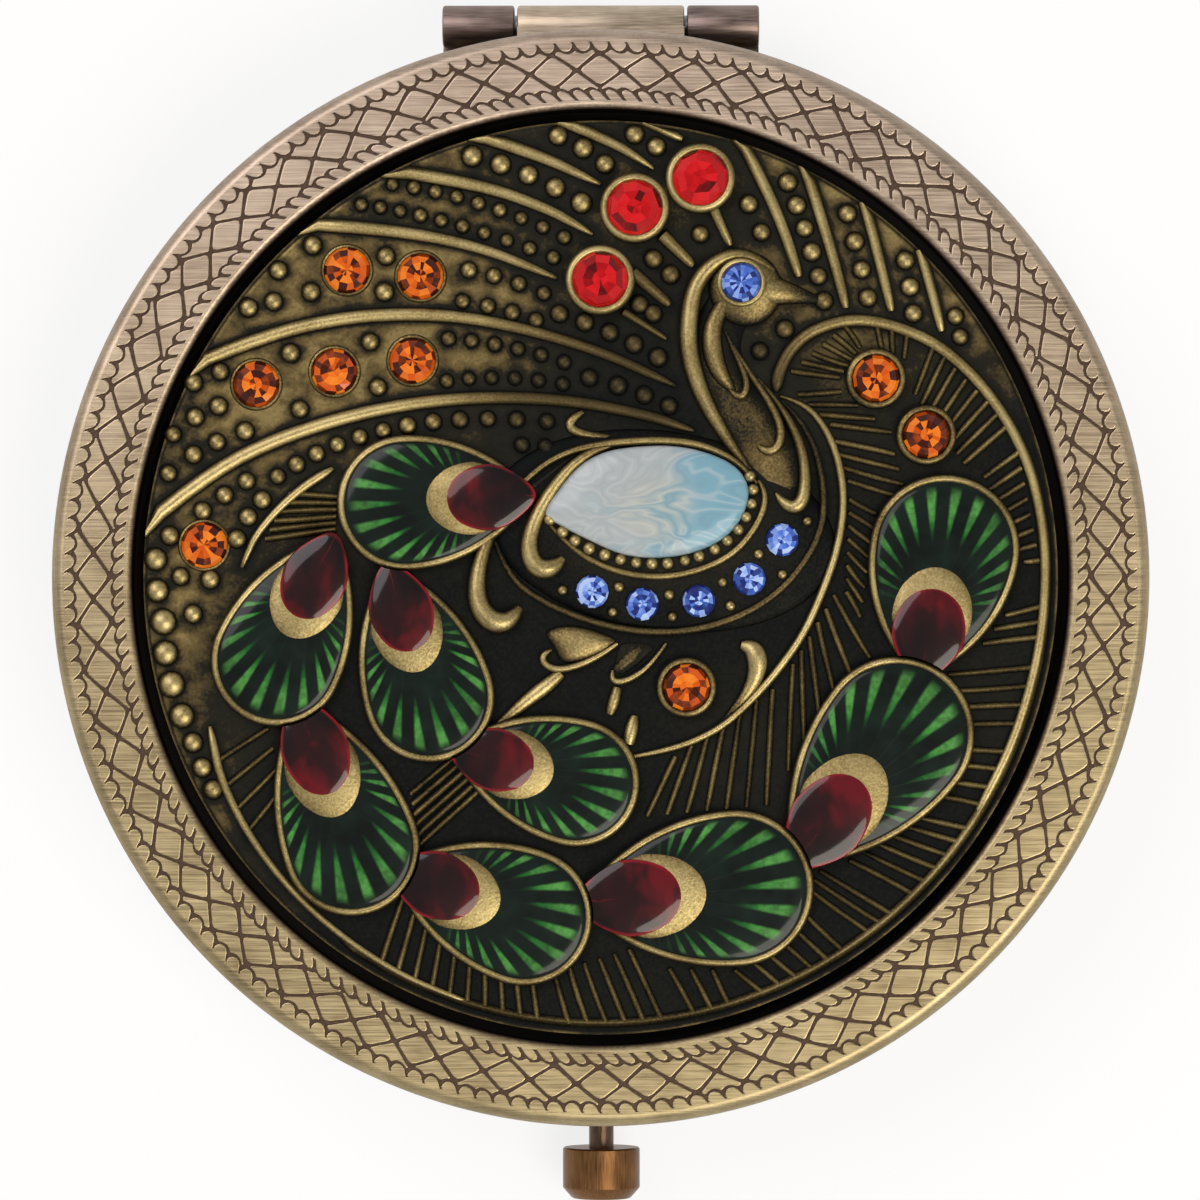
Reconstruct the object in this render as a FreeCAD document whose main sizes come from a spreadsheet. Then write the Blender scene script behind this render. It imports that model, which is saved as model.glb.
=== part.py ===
import FreeCAD, Part
import math
import os
import re
import sys

import Sketcher

# Round hinged compact mirror, 70 mm across, lying closed on its base.
# Frame: +Z up, the origin in the middle of the flat underside, the hinge towards +Y and the push
# button towards -Y. Millimetres throughout.

V = FreeCAD.Vector
UP = V(0, 0, 1)

# Driving dimensions, one spreadsheet cell each.
SIZES = {
    # case
    "case_radius": 35.0,
    "ring_width": 4.9,
    "wall": 0.7,
    "edge_bevel": 0.9,
    "edge_shoulder": 0.27,
    "base_bevel": 0.7,
    "base_height": 6.5,
    "parting_gap": 0.2,
    "recess_depth": 2.3,
    # mirrors and the rings that frame them
    "bezel_sheet": 0.5,
    "bezel_inset": 0.2,
    "bezel_clearance": 0.03,
    "bezel_lap": 0.8,
    "mirror_thickness": 1.8,
    # hinge
    "hinge_reach": 0.85,
    "leaf_sheet": 0.55,
    "leaf_depth": 4.6,
    "lid_knuckle": 10.8,
    "base_knuckle": 4.65,
    "knuckle_gap": 0.2,
    "hinge_clearance": 0.25,
    "pin_radius": 0.7,
    "pin_clearance": 0.05,
    # push button and latch
    "button_travel": 0.9,
    "stem_radius": 0.8,
    "stem_clearance": 0.06,
    "knob_radius": 2.5,
    "knob_length": 3.3,
    "knob_chamfer": 0.6,
    "knob_gap": 1.9,
    "knob_socket": 2.0,
    "knob_fit": 0.02,
    "collar_radius": 1.3,
    "collar_length": 0.4,
    "collar_gap": 0.1,
    "rivet_radius": 0.4,
    "rivet_length": 0.35,
    "latch_sheet": 0.6,
    "latch_clearance": 0.1,
    "slide_width": 6.8,
    "slide_drop": 0.2,
    "slide_bar": 0.8,
    "tab_width": 4.6,
    "tab_drop": 1.25,
    "tongue_width": 4.0,
    "tongue_play": 0.2,
    "nose_length": 0.55,
    "nose_height": 0.6,
    "nose_room": 0.85,
    "foot_length": 2.6,
    "housing_sheet": 0.5,
    "housing_gap": 0.5,
    "spring_sheet": 0.2,
    "spring_room": 0.25,
    "spring_arm": 1.9,
    "spring_tip": 0.5,
    "spring_gap": 0.05,
    # medallion
    "medallion_clearance": 0.7,
    "plate_thickness": 1.0,
    "ridge_height": 0.4,
    "feather_height": 0.85,
    "feather_floor": 0.15,
    "feather_rim": 0.45,
    "enamel_gap": 0.02,
    "enamel_edge": 0.7,
    "enamel_crown": 0.95,
    "drop_crown": 1.3,
    "body_height": 0.65,
    "cabochon_crown": 1.45,
    "neck_height": 1.05,
    "head_height": 1.2,
    "setting_depth": 0.6,
    "setting_gap": 0.03,
    "setting_wall": 0.4,
    "red_stone_radius": 1.75,
    "red_cup_height": 1.1,
    "amber_stone_radius": 1.5,
    "amber_cup_height": 0.6,
    "blue_stone_radius": 1.1,
    "eye_stone_radius": 1.25,
}

# Places and radii that follow from the driving dimensions.
DERIVED = {
    "recess_radius": "case_radius - ring_width",
    "inner_radius": "case_radius - wall",
    "base_bezel_top": "base_height - bezel_inset",
    "base_bezel_bottom": "base_bezel_top - bezel_sheet",
    "lid_bottom": "base_height + parting_gap",
    "lid_bezel_bottom": "lid_bottom + bezel_inset",
    "lid_bezel_top": "lid_bezel_bottom + bezel_sheet",
    "lid_ceiling": "lid_bezel_top + mirror_thickness",
    "recess_floor": "lid_ceiling + wall",
    "lid_top": "recess_floor + recess_depth",
    "hinge_y": "case_radius + hinge_reach",
    "hinge_z": "base_height + parting_gap / 2",
    "knuckle_radius": "parting_gap / 2 + bezel_inset + bezel_sheet + leaf_sheet",
    "bore_radius": "pin_radius + pin_clearance",
    "hinge_half": "lid_knuckle / 2 + knuckle_gap + base_knuckle",
    "leaf_edge": "hinge_y - leaf_depth",
    "button_z": "base_height / 2",
    "knob_face": "case_radius + knob_gap",
    "collar_outer": "inner_radius - collar_gap",
    "tab_outer": "collar_outer - collar_length",
    "tab_inner": "tab_outer - latch_sheet",
    "slide_top": "base_bezel_bottom - slide_drop",
    "slide_bottom": "slide_top - latch_sheet",
    "tongue_outer": "tab_inner - button_travel - tongue_play",
    "tongue_inner": "tongue_outer - latch_sheet",
    "nose_tip": "tongue_inner - nose_length",
    "nose_top": "slide_bottom - latch_clearance",
    "window_inner": "tongue_inner - latch_clearance",
    "bar_inner": "window_inner - slide_bar",
    "window_width": "tongue_width + 2 * tongue_play",
    "spring_seat": "nose_tip - nose_room",
    "spring_width": "2 * (nose_top - nose_height - spring_room - button_z)",
    "housing_back": "spring_seat - housing_sheet",
    "mirror_radius": "housing_back - housing_gap",
    "plate_radius": "recess_radius - medallion_clearance",
    "plate_top": "recess_floor + plate_thickness",
}

STONE_SIDES = 8
CUP_SIDES = 12
OVAL_SIDES = 10
BODY_SIDES = 18
RIDGE_STEPS = 4  # straight steps along each side of a ridge
FLANK_STEPS = 3  # along each flank of a feather
END_STEPS = 6  # round the end of a feather
BORDER_STEPS = 16
BACK_SHARE = 0.55  # flat back's width over girdle width of a stone
TABLE_SHARE = 0.6  # table width over girdle width
CROWN_SHARE = 0.3  # crown height over girdle radius
ENAMEL_SHARE = 0.62  # flat top's size over the outline's, of an enamel
DROP_SHARE = 0.6
WELD = 0.2  # depth to which a raised form is sunk into the plate it grows from

# The ornament is drawn in hundredths of the plate's radius, from the plate's centre.
# Tail feathers, the topmost first: quill end, rounded end and width.
FEATHERS = [
    ((-14.3, 17.7), (-57.1, 15.0), 29.6),
    ((-57.5, 8.8), (-76.2, -31.3), 28.9),
    ((-46.3, 2.4), (-32.7, -39.8), 28.6),
    ((-65.6, -26.9), (-48.6, -72.8), 29.9),
    ((-32.3, -37.1), (8.2, -48.6), 27.9),
    ((-45.2, -63.3), (-2.4, -78.9), 29.9),
    ((-5.1, -70.7), (46.3, -66.0), 34.0),
    ((41.5, -62.6), (74.8, -21.1), 34.0),
    ((69.0, -22.4), (77.9, 21.8), 32.7),
]
CRESCENT_CENTRE = 0.30  # along a feather, as shares of its length and width
CRESCENT_HALF_LENGTH = 0.245
CRESCENT_HALF_WIDTH = 0.285
DROP_CENTRE = 0.25
DROP_HALF_LENGTH = 0.18
DROP_HALF_WIDTH = 0.205
# Stones: their centres.
RED_STONES = [(21.8, 86.4), (7.5, 79.9), (0.0, 64.3)]
AMBER_FLUSH = [
    (-55.1, 66.7),
    (-39.1, 65.3),
    (-74.8, 41.8),
    (-57.8, 44.6),
    (-40.8, 46.9),
    (-86.1, 6.8),
]
AMBER_CUPS = [(59.9, 42.9), (70.7, 30.6), (18.7, -24.1)]
BELLY_STONES = [(-1.7, -3.4), (9.2, -6.1), (21.4, -5.4), (32.3, -0.7), (39.5, 7.8)]
EYE = (30.6, 63.6)

# The bird: body and cabochon ellipses (centre, half length, half width, turn), head, and the neck and
# beak as crescents.
BODY = ((12.9, 9.9), 40.1, 22.4, -8.0)
CABOCHON = ((10.2, 15.6), 23.1, 11.7, -4.0)
CABOCHON_RINGS = [(1, 0), (0.96, 0.4), (0.8, 0.8), (0.45, 1)]  # ring size and share of the height
HEAD_RADIUS = 8.5
HEAD_SHARE = 0.68  # flat top's width over the head's
NECK = [
    ((28.6, 70.4), (19.0, 53.7), (29.3, 30.6), 8.8),
    ((20.1, 52.4), (34.7, 30.6), (49.0, 12.2), 14.3),
]
BEAK = ((35.4, 64.6), (42.9, 63.3), (49.7, 60.2), 3.4)

# Ridges: start, a point on the way, end and greatest width.
RIDGES = [
    ((-96.6, 10.9), (-39.1, 37.1), (13.6, 32.3), 3.1),
    ((-85.0, 48.3), (-37.1, 56.1), (17.0, 38.1), 2.7),
    ((-61.9, 76.2), (-37.1, 72.8), (-10.9, 64.6), 2.6),
    ((-43.5, 87.8), (-23.8, 83.3), (-2.0, 73.5), 2.6),
    ((-24.5, 94.2), (-10.9, 90.1), (0.3, 85.0), 2.6),
    ((-5.8, 97.6), (3.7, 92.9), (11.2, 88.4), 2.4),
    ((31.3, 92.9), (38.1, 80.6), (43.2, 65.3), 2.6),
    ((45.2, 86.1), (49.7, 72.8), (53.1, 58.8), 2.6),
    ((58.5, 78.2), (61.2, 67.3), (63.6, 57.1), 2.4),
    ((70.7, 67.7), (73.1, 59.9), (74.5, 52.4), 2.0),
    ((11.6, 73.5), (15.6, 70.1), (19.0, 66.7), 2.0),
    ((24.8, 79.6), (26.9, 75.2), (28.9, 71.4), 2.0),
    ((-57.1, 21.8), (-73.1, 6.1), (-79.3, -7.5), 2.0),
    ((46.6, 39.5), (54.1, 15.6), (38.8, -21.1), 2.4),
    ((38.8, -22.1), (27.2, -32.7), (11.6, -37.8), 2.4),
    ((40.1, 44.2), (54.1, 55.1), (71.4, 49.0), 2.4),
    ((71.4, 48.0), (85.7, 34.7), (93.5, 15.6), 2.4),
    ((-26.9, 2.0), (-26.2, -9.5), (-18.4, -11.6), 4.1),
    ((32.0, -15.6), (29.6, -25.9), (23.5, -32.7), 3.1),
    ((-11.6, -14.3), (-4.1, -19.0), (6.5, -16.0), 3.1),
]
BORDER_RADIUS = 96.3
BORDER_WIDTH = 2.0
BORDER_START = -158.0  # degrees, counted from +X
BORDER_END = 8.0


def full_text(words):
    """An expression with derived names written out and every size named in the sheet."""

    def swap(found):
        name = found.group(0)
        if name in DERIVED:
            return "(" + full_text(DERIVED[name]) + ")"
        return "Sizes." + name if name in SIZES else name

    return re.sub(r"[a-z][a-z_]*", swap, words)


def make_sheet(doc):
    """The spreadsheet of driving dimensions: names in column A, aliased values in column B."""
    sheet = doc.addObject("Spreadsheet::Sheet", "Sizes")
    for row, (name, size) in enumerate(SIZES.items(), start=1):
        sheet.set(f"A{row}", name)
        sheet.set(f"B{row}", str(size))
        sheet.setAlias(f"B{row}", name)
    doc.recompute()
    return sheet


doc = FreeCAD.newDocument("compact_mirror")
sheet = make_sheet(doc)
nodes = []


def value(words):
    """The number that an expression in the sheet's names comes to."""
    return float(sheet.evalExpression(full_text(words)))


def bind(thing, sizes):
    """Ties properties of a document object to expressions."""
    for prop, words in sizes.items():
        thing.setExpression(prop, full_text(words))


def new_body(name):
    """An empty body that becomes the node of that name."""
    body = doc.addObject("PartDesign::Body", name)
    body.Label = name
    nodes.append(body)
    return body


def plane(body, role):
    """One of a body's own origin planes."""
    return next(f for f in body.Origin.OriginFeatures if f.Role == role)


def outline(body, role, corners):
    """A closed, fully constrained sketch with straight edges between corners (x, y)."""
    sketch = body.newObject("Sketcher::SketchObject", body.Label + "_outline")
    sketch.AttachmentSupport = (plane(body, role), [""])
    sketch.MapMode = "FlatFace"
    spots = [V(value(x), value(y), 0) for x, y in corners]
    count = len(spots)
    for i in range(count):
        sketch.addGeometry(Part.LineSegment(spots[i], spots[(i + 1) % count]), False)
    for i, (x, y) in enumerate(corners):
        sketch.addConstraint(Sketcher.Constraint("Coincident", i, 2, (i + 1) % count, 1))
        for kind, words, at in (("DistanceX", x, spots[i].x), ("DistanceY", y, spots[i].y)):
            n = sketch.addConstraint(Sketcher.Constraint(kind, i, 1, at))
            sketch.setExpression(f"Constraints[{n}]", full_text(words))
    doc.recompute()
    return sketch


def turned(body, corners, role="XZ_Plane", axis="V_Axis"):
    """A solid of revolution from an outline, about one of the sketch's own axes."""
    sketch = outline(body, role, corners)
    turn = body.newObject("PartDesign::Revolution", body.Label + "_turned")
    turn.Profile = sketch
    turn.ReferenceAxis = (sketch, [axis])
    turn.Angle = 360
    doc.recompute()
    return turn


def raised(body, corners, role, depth):
    """A solid pushed out of an outline to both sides of its plane."""
    pad = body.newObject("PartDesign::Pad", body.Label + "_pad")
    pad.Profile = outline(body, role, corners)
    pad.SideType = "Symmetric"
    bind(pad, {"Length": depth})
    doc.recompute()
    return pad


def block(body, kind, low, high):
    """An Additive or Subtractive box between two corners."""
    box = body.newObject(f"PartDesign::{kind}Box", f"{body.Label}_{kind.lower()}_box")
    for prop, axis, a, b in zip(("Length", "Width", "Height"), "xyz", low, high):
        bind(box, {prop: f"({b}) - ({a})", f"Placement.Base.{axis}": a})
    doc.recompute()
    return box


TURN_TO = {
    "x": FreeCAD.Rotation(V(0, 1, 0), 90),
    "y": FreeCAD.Rotation(V(1, 0, 0), -90),
    "z": FreeCAD.Rotation(),
}


def rod(body, kind, radius, start, length, along):
    """An Additive or Subtractive cylinder from a point along +X, +Y or +Z."""
    bar = body.newObject(f"PartDesign::{kind}Cylinder", f"{body.Label}_{kind.lower()}_rod")
    bar.Placement = FreeCAD.Placement(V(), TURN_TO[along])
    bind(bar, {"Radius": radius, "Height": length})
    bind(bar, {f"Placement.Base.{axis}": words for axis, words in zip("xyz", start)})
    doc.recompute()
    return bar


# Case: a shell for the base and a lid with a raised ring round its recess.

def base_shell():
    body = new_body("base_shell")
    turned(
        body,
        [
            ("0", "0"),
            ("case_radius - base_bevel", "0"),
            ("case_radius", "base_bevel"),
            ("case_radius", "base_height"),
            ("inner_radius", "base_height"),
            ("inner_radius", "wall"),
            ("0", "wall"),
        ],
    )
    notch = "hinge_half + hinge_clearance"
    block(
        body,
        "Subtractive",
        (f"-({notch})", "leaf_edge", "hinge_z - knuckle_radius - hinge_clearance"),
        (notch, "hinge_y", "base_height + parting_gap"),
    )
    rod(body, "Subtractive", "stem_radius + stem_clearance", ("0", "-hinge_y", "button_z"), "leaf_depth", "y")


def lid_shell():
    body = new_body("lid_shell")
    turned(
        body,
        [
            ("0", "lid_ceiling"),
            ("inner_radius", "lid_ceiling"),
            ("inner_radius", "lid_bottom"),
            ("case_radius", "lid_bottom"),
            ("case_radius", "lid_top - edge_bevel"),
            ("case_radius - edge_shoulder", "lid_top - edge_shoulder"),
            ("case_radius - edge_bevel", "lid_top"),
            ("recess_radius", "lid_top"),
            ("recess_radius", "recess_floor"),
            ("0", "recess_floor"),
        ],
    )
    notch = "hinge_half + hinge_clearance"
    block(
        body,
        "Subtractive",
        (f"-({notch})", "leaf_edge", "base_height"),
        (notch, "hinge_y", "hinge_z + knuckle_radius + hinge_clearance"),
    )


# Mirrors, each behind a ring pressed into its half of the case.

def bezel(name, bottom):
    body = new_body(name)
    inner, outer = "mirror_radius - bezel_lap", "inner_radius - bezel_clearance"
    top = f"{bottom} + bezel_sheet"
    turned(body, [(inner, bottom), (outer, bottom), (outer, top), (inner, top)])
    return body


def base_bezel():
    body = bezel("base_bezel", "base_bezel_bottom")
    block(
        body,
        "Subtractive",
        ("-window_width / 2", "-(tongue_outer + tongue_play)", "base_bezel_bottom"),
        ("window_width / 2", "-(nose_tip - tongue_play)", "base_bezel_top"),
    )


def lid_bezel():
    body = bezel("lid_bezel", "lid_bezel_bottom")
    block(
        body,
        "Subtractive",
        ("-window_width / 2", "-(tongue_outer + latch_clearance)", "lid_bezel_bottom"),
        ("window_width / 2", "-(tongue_inner - latch_clearance)", "lid_bezel_top"),
    )


def mirror(name, bottom):
    """A round mirror, from its lower face up."""
    body = new_body(name)
    rod(body, "Additive", "mirror_radius", ("0", "0", bottom), "mirror_thickness", "z")


# Hinge: rolled leaves against the bezels, with a pin pressed into the base's knuckles.

def hinge_base_leaf():
    body = new_body("hinge_base_leaf")
    rod(body, "Additive", "knuckle_radius", ("-hinge_half", "hinge_y", "hinge_z"), "2 * hinge_half", "x")
    block(
        body,
        "Additive",
        ("-hinge_half", "leaf_edge", "hinge_z - knuckle_radius"),
        ("hinge_half", "hinge_y", "hinge_z - knuckle_radius + leaf_sheet"),
    )
    gap = "lid_knuckle / 2 + knuckle_gap"
    block(
        body,
        "Subtractive",
        (f"-({gap})", "hinge_y - knuckle_radius - hinge_clearance", "hinge_z - 2 * knuckle_radius"),
        (gap, "hinge_y + 2 * knuckle_radius", "hinge_z + 2 * knuckle_radius"),
    )
    rod(body, "Subtractive", "pin_radius", ("-hinge_half", "hinge_y", "hinge_z"), "2 * hinge_half", "x")


def hinge_lid_leaf():
    body = new_body("hinge_lid_leaf")
    rod(body, "Additive", "knuckle_radius", ("-lid_knuckle / 2", "hinge_y", "hinge_z"), "lid_knuckle", "x")
    block(
        body,
        "Additive",
        ("-lid_knuckle / 2", "leaf_edge", "lid_bezel_top"),
        ("lid_knuckle / 2", "hinge_y", "lid_bezel_top + leaf_sheet"),
    )
    rod(body, "Subtractive", "bore_radius", ("-lid_knuckle / 2", "hinge_y", "hinge_z"), "lid_knuckle", "x")


def hinge_pin():
    body = new_body("hinge_pin")
    rod(body, "Additive", "pin_radius", ("-hinge_half", "hinge_y", "hinge_z"), "2 * hinge_half", "x")


# Push button and latch. The slide's bar holds the lid's nose down until the button is pressed.

def about_stem(name):
    """A body whose turned outline has the stem's axis as its sketch's vertical axis."""
    body = new_body(name)
    body.Placement = FreeCAD.Placement(V(), TURN_TO["y"])
    bind(body, {"Placement.Base.z": "button_z"})
    return body


def button_stem():
    body = about_stem("button_stem")
    turned(
        body,
        [
            ("0", "-(knob_face + knob_socket)"),
            ("stem_radius", "-(knob_face + knob_socket)"),
            ("stem_radius", "-collar_outer"),
            ("collar_radius", "-collar_outer"),
            ("collar_radius", "-tab_outer"),
            ("rivet_radius", "-tab_outer"),
            ("rivet_radius", "-(tab_inner - rivet_length)"),
            ("0", "-(tab_inner - rivet_length)"),
        ],
    )


def button_knob():
    body = about_stem("button_knob")
    turned(
        body,
        [
            ("0", "-(knob_face + knob_length)"),
            ("knob_radius - knob_chamfer", "-(knob_face + knob_length)"),
            ("knob_radius", "-(knob_face + knob_length - knob_chamfer)"),
            ("knob_radius", "-knob_face"),
            ("stem_radius + knob_fit", "-knob_face"),
            ("stem_radius + knob_fit", "-(knob_face + knob_socket)"),
            ("0", "-(knob_face + knob_socket)"),
        ],
    )


def latch_slide():
    body = new_body("latch_slide")
    block(
        body,
        "Additive",
        ("-slide_width / 2", "-tab_outer", "slide_bottom"),
        ("slide_width / 2", "-bar_inner", "slide_top"),
    )
    block(
        body,
        "Additive",
        ("-tab_width / 2", "-tab_outer", "button_z - tab_drop"),
        ("tab_width / 2", "-tab_inner", "slide_top"),
    )
    block(
        body,
        "Subtractive",
        ("-window_width / 2", "-tab_inner", "slide_bottom"),
        ("window_width / 2", "-window_inner", "slide_top"),
    )
    rod(body, "Subtractive", "rivet_radius", ("0", "-tab_outer", "button_z"), "latch_sheet", "y")


def latch_housing():
    body = new_body("latch_housing")
    half = "tab_width / 2 + tongue_play + housing_sheet"
    floor = "wall + housing_sheet"
    wall_top = "slide_bottom - latch_clearance"
    raised(
        body,
        [
            (f"-({half})", "wall"),
            (half, "wall"),
            (half, wall_top),
            (f"{half} - housing_sheet", wall_top),
            (f"{half} - housing_sheet", floor),
            (f"-({half} - housing_sheet)", floor),
            (f"-({half} - housing_sheet)", wall_top),
            (f"-({half})", wall_top),
        ],
        "XZ_Plane",
        "tab_inner - housing_back",
    )
    bind(body, {"Placement.Base.y": "-(tab_inner + housing_back) / 2"})
    half_length = "(tab_inner - housing_back) / 2"
    block(
        body,
        "Additive",
        (f"-({half})", f"{half_length} - housing_sheet", "wall"),
        (half, half_length, wall_top),
    )


def latch_spring():
    """A bent leaf between the housing's back and the rivet of the slide."""
    body = new_body("latch_spring")
    bind(body, {"Placement.Base.z": "button_z"})
    reach = "tab_inner - rivet_length - spring_gap"
    raised(
        body,
        [
            ("-spring_arm", "-spring_seat"),
            ("spring_arm", "-spring_seat"),
            ("-spring_tip", f"-({reach})"),
            ("-2 * spring_tip", f"-({reach})"),
            ("spring_arm - 2 * spring_tip", "-(spring_seat + spring_sheet)"),
            ("-spring_arm", "-(spring_seat + spring_sheet)"),
        ],
        "XY_Plane",
        "spring_width",
    )


def lid_catch():
    body = new_body("lid_catch")
    raised(
        body,
        [
            ("-tongue_outer", "lid_bezel_top + latch_sheet"),
            ("-tongue_outer", "nose_top - nose_height"),
            ("-tongue_inner", "nose_top - nose_height"),
            ("-nose_tip", "nose_top - latch_clearance"),
            ("-nose_tip", "nose_top"),
            ("-tongue_inner", "nose_top"),
            ("-tongue_inner", "lid_bezel_top"),
            ("-(tongue_outer - foot_length)", "lid_bezel_top"),
            ("-(tongue_outer - foot_length)", "lid_bezel_top + latch_sheet"),
        ],
        "YZ_Plane",
        "tongue_width",
    )


# Medallion: a cast relief plate, its enamels and its stones.

def art_length(length):
    """A length of the ornament in millimetres."""
    return value("plate_radius") * length / 100


def art(spot):
    """A point of the ornament, at the plate's top."""
    return V(art_length(spot[0]), art_length(spot[1]), value("plate_top"))


def face_of(corners):
    return Part.Face(Part.makePolygon(corners + corners[:1]))


def steps_along(start, middle, end, steps):
    """Points along an arc through three points, without its end."""
    return Part.Arc(start, middle, end).toShape().discretize(Number=steps + 1)[:-1]


def lens(start, middle, end, width):
    """A flat crescent that tapers to both ends."""
    a, m, b = art(start), art(middle), art(end)
    side = (b - a).cross(UP).normalize() * (art_length(width) / 2)
    return face_of(steps_along(a, m + side, b, RIDGE_STEPS) + steps_along(b, m - side, a, RIDGE_STEPS))


def teardrop(quill, tip, width, inset):
    """Corners of a feather's outline: a half circle, and two curved flanks that meet at the quill."""
    a, b = art(quill), art(tip)
    along = (b - a).normalize()
    across = UP.cross(along)
    radius = art_length(width) / 2 - inset
    centre = b - along * (art_length(width) / 2)
    reach = (centre - a).Length - inset
    flank = (reach**2 + radius**2) / (2 * radius)
    turn = math.atan2(reach, flank - radius) / 2
    end = centre - along * reach
    wide, bulge = {}, {}
    for side in (1, -1):
        hub = centre - across * (side * (flank - radius))
        wide[side] = centre + across * (side * radius)
        bulge[side] = hub + across * (side * flank * math.cos(turn)) - along * (flank * math.sin(turn))
    corners = steps_along(end, bulge[-1], wide[-1], FLANK_STEPS)
    corners += steps_along(wide[-1], centre + along * radius, wide[1], END_STEPS)
    return corners + steps_along(wide[1], bulge[1], end, FLANK_STEPS)


def ellipse(centre, half_long, half_short, along, sides):
    """Corners of an ellipse at the plate's top, long along a direction."""
    across = UP.cross(along)
    turns = [2 * math.pi * i / sides for i in range(sides)]
    return [centre + along * (half_long * math.cos(u)) + across * (half_short * math.sin(u)) for u in turns]


def circle(spot, radius, sides):
    return ellipse(art(spot), radius, radius, V(1, 0, 0), sides)


def stacked(corners, levels):
    """A solid of rings one above another. A level is a ring's size, as a share of the given corners,
    and its height above them."""
    centre = sum(corners, V()) / len(corners)
    rings = [[centre + (c - centre) * share + UP * height for c in corners] for share, height in levels]
    faces = [face_of(rings[0]), face_of(rings[-1])]
    for lower, upper in zip(rings, rings[1:]):
        for i in range(len(corners)):
            faces.append(face_of([lower[i - 1], lower[i], upper[i], upper[i - 1]]))
    shell = Part.makeShell(faces)
    shell.sewShape()
    solid = Part.makeSolid(shell)
    if solid.Volume < 0:
        solid.reverse()
    return solid


def heading(degrees):
    return V(math.cos(math.radians(degrees)), math.sin(math.radians(degrees)), 0)


def prism(face, low, high):
    """A flat face of the plate's top, raised from one height above the plate to another."""
    solid = face.extrude(UP * (high - low))
    solid.translate(UP * low)
    return solid


def feather_solids():
    """The feathers' walls and crescents, enamels and drops. Each feather is cut by those over it."""
    rim, gap, floor = value("feather_rim"), value("enamel_gap"), value("feather_floor")
    high = value("feather_height")
    enamel_levels = [(1, floor), (1, value("enamel_edge")), (ENAMEL_SHARE, value("enamel_crown"))]
    drop_levels = [(1, high), (DROP_SHARE, value("drop_crown"))]
    covers = []
    walls, enamels, drops = [], [], []
    for quill, tip, width in FEATHERS:
        a, b = art(quill), art(tip)
        along = (b - a).normalize()
        length, breadth = (b - a).Length, art_length(width)
        moon_spot = a + along * (CRESCENT_CENTRE * length)
        moon_size = (CRESCENT_HALF_LENGTH * length, CRESCENT_HALF_WIDTH * breadth)
        drop_spot = a + along * (DROP_CENTRE * length)
        drop_size = (DROP_HALF_LENGTH * length, DROP_HALF_WIDTH * breadth)
        outer = prism(face_of(teardrop(quill, tip, width, 0)), -WELD, high)
        pocket = prism(face_of(teardrop(quill, tip, width, rim)), floor, high)
        moon = prism(face_of(ellipse(moon_spot, *moon_size, along, OVAL_SIDES)), -WELD, high)
        room = ellipse(moon_spot, moon_size[0] + gap, moon_size[1] + gap, along, OVAL_SIDES)
        wall = outer.cut(pocket).fuse(moon)
        enamel = stacked(teardrop(quill, tip, width, rim + gap), enamel_levels)
        enamel = enamel.cut(prism(face_of(room), -WELD, 2 * high))
        drop = stacked(ellipse(drop_spot, *drop_size, along, OVAL_SIDES), drop_levels)
        if covers:
            wall, enamel, drop = (solid.cut(covers) for solid in (wall, enamel, drop))
        covers.append(prism(face_of(teardrop(quill, tip, width, -gap)), floor, 3 * high))
        walls.append(wall)
        enamels.append(max(enamel.Solids, key=lambda solid: solid.Volume))
        drops.append(drop)
    return walls, enamels, drops


def stones_of(spots, radius, rim):
    """Faceted, flat-backed stones with the seats cut for them. rim is the setting's height above the
    plate, where a stone's girdle lies."""
    radius, rim, depth = value(radius), value(rim), value("setting_depth")
    levels = [(BACK_SHARE, rim - depth), (1, rim), (TABLE_SHARE, rim + radius * CROWN_SHARE)]
    stones = [stacked(circle(spot, radius, STONE_SIDES), levels) for spot in spots]
    wide = radius + value("setting_gap")
    seats = [prism(face_of(circle(spot, wide, STONE_SIDES)), rim - depth, rim + depth) for spot in spots]
    return stones, seats


def cups_of(spots, radius, height):
    """Round raised cups that hold stones."""
    wide = value(radius) + value("setting_wall")
    return [prism(face_of(circle(spot, wide, CUP_SIDES)), -WELD, value(height)) for spot in spots]


def border_ridge():
    """The tail's long outer rib, which follows the plate's edge."""
    level = UP * value("plate_top")
    turns = [BORDER_START + (BORDER_END - BORDER_START) * i / BORDER_STEPS for i in range(BORDER_STEPS + 1)]
    inner, outer = (art_length(BORDER_RADIUS + side * BORDER_WIDTH / 2) for side in (-1, 1))
    way_out = [heading(turn) * outer + level for turn in turns]
    way_back = [heading(turn) * inner + level for turn in reversed(turns)]
    return face_of(way_out + way_back)


def bird():
    """Body, neck, beak and head."""
    spot, long, short, turn = BODY
    oval = ellipse(art(spot), art_length(long), art_length(short), heading(turn), BODY_SIDES)
    solids = [prism(face_of(oval), -WELD, value("body_height"))]
    solids += [prism(lens(*part), -WELD, value("neck_height")) for part in NECK + [BEAK]]
    head = circle(EYE, art_length(HEAD_RADIUS), CUP_SIDES)
    solids.append(stacked(head, [(1, -WELD), (HEAD_SHARE, value("head_height"))]))
    return solids


def cabochon():
    """The oval gem on the bird's back."""
    spot, long, short, turn = CABOCHON
    oval = ellipse(art(spot), art_length(long), art_length(short), heading(turn), BODY_SIDES)
    low, crown = value("body_height"), value("cabochon_crown")
    return stacked(oval, [(share, low + (crown - low) * rise) for share, rise in CABOCHON_RINGS])


def feature(name, solids):
    """A node of one or several separate solids."""
    node = doc.addObject("Part::Feature", name)
    node.Label = name
    node.Shape = solids[0] if len(solids) == 1 else Part.makeCompound(solids)
    nodes.append(node)


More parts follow.
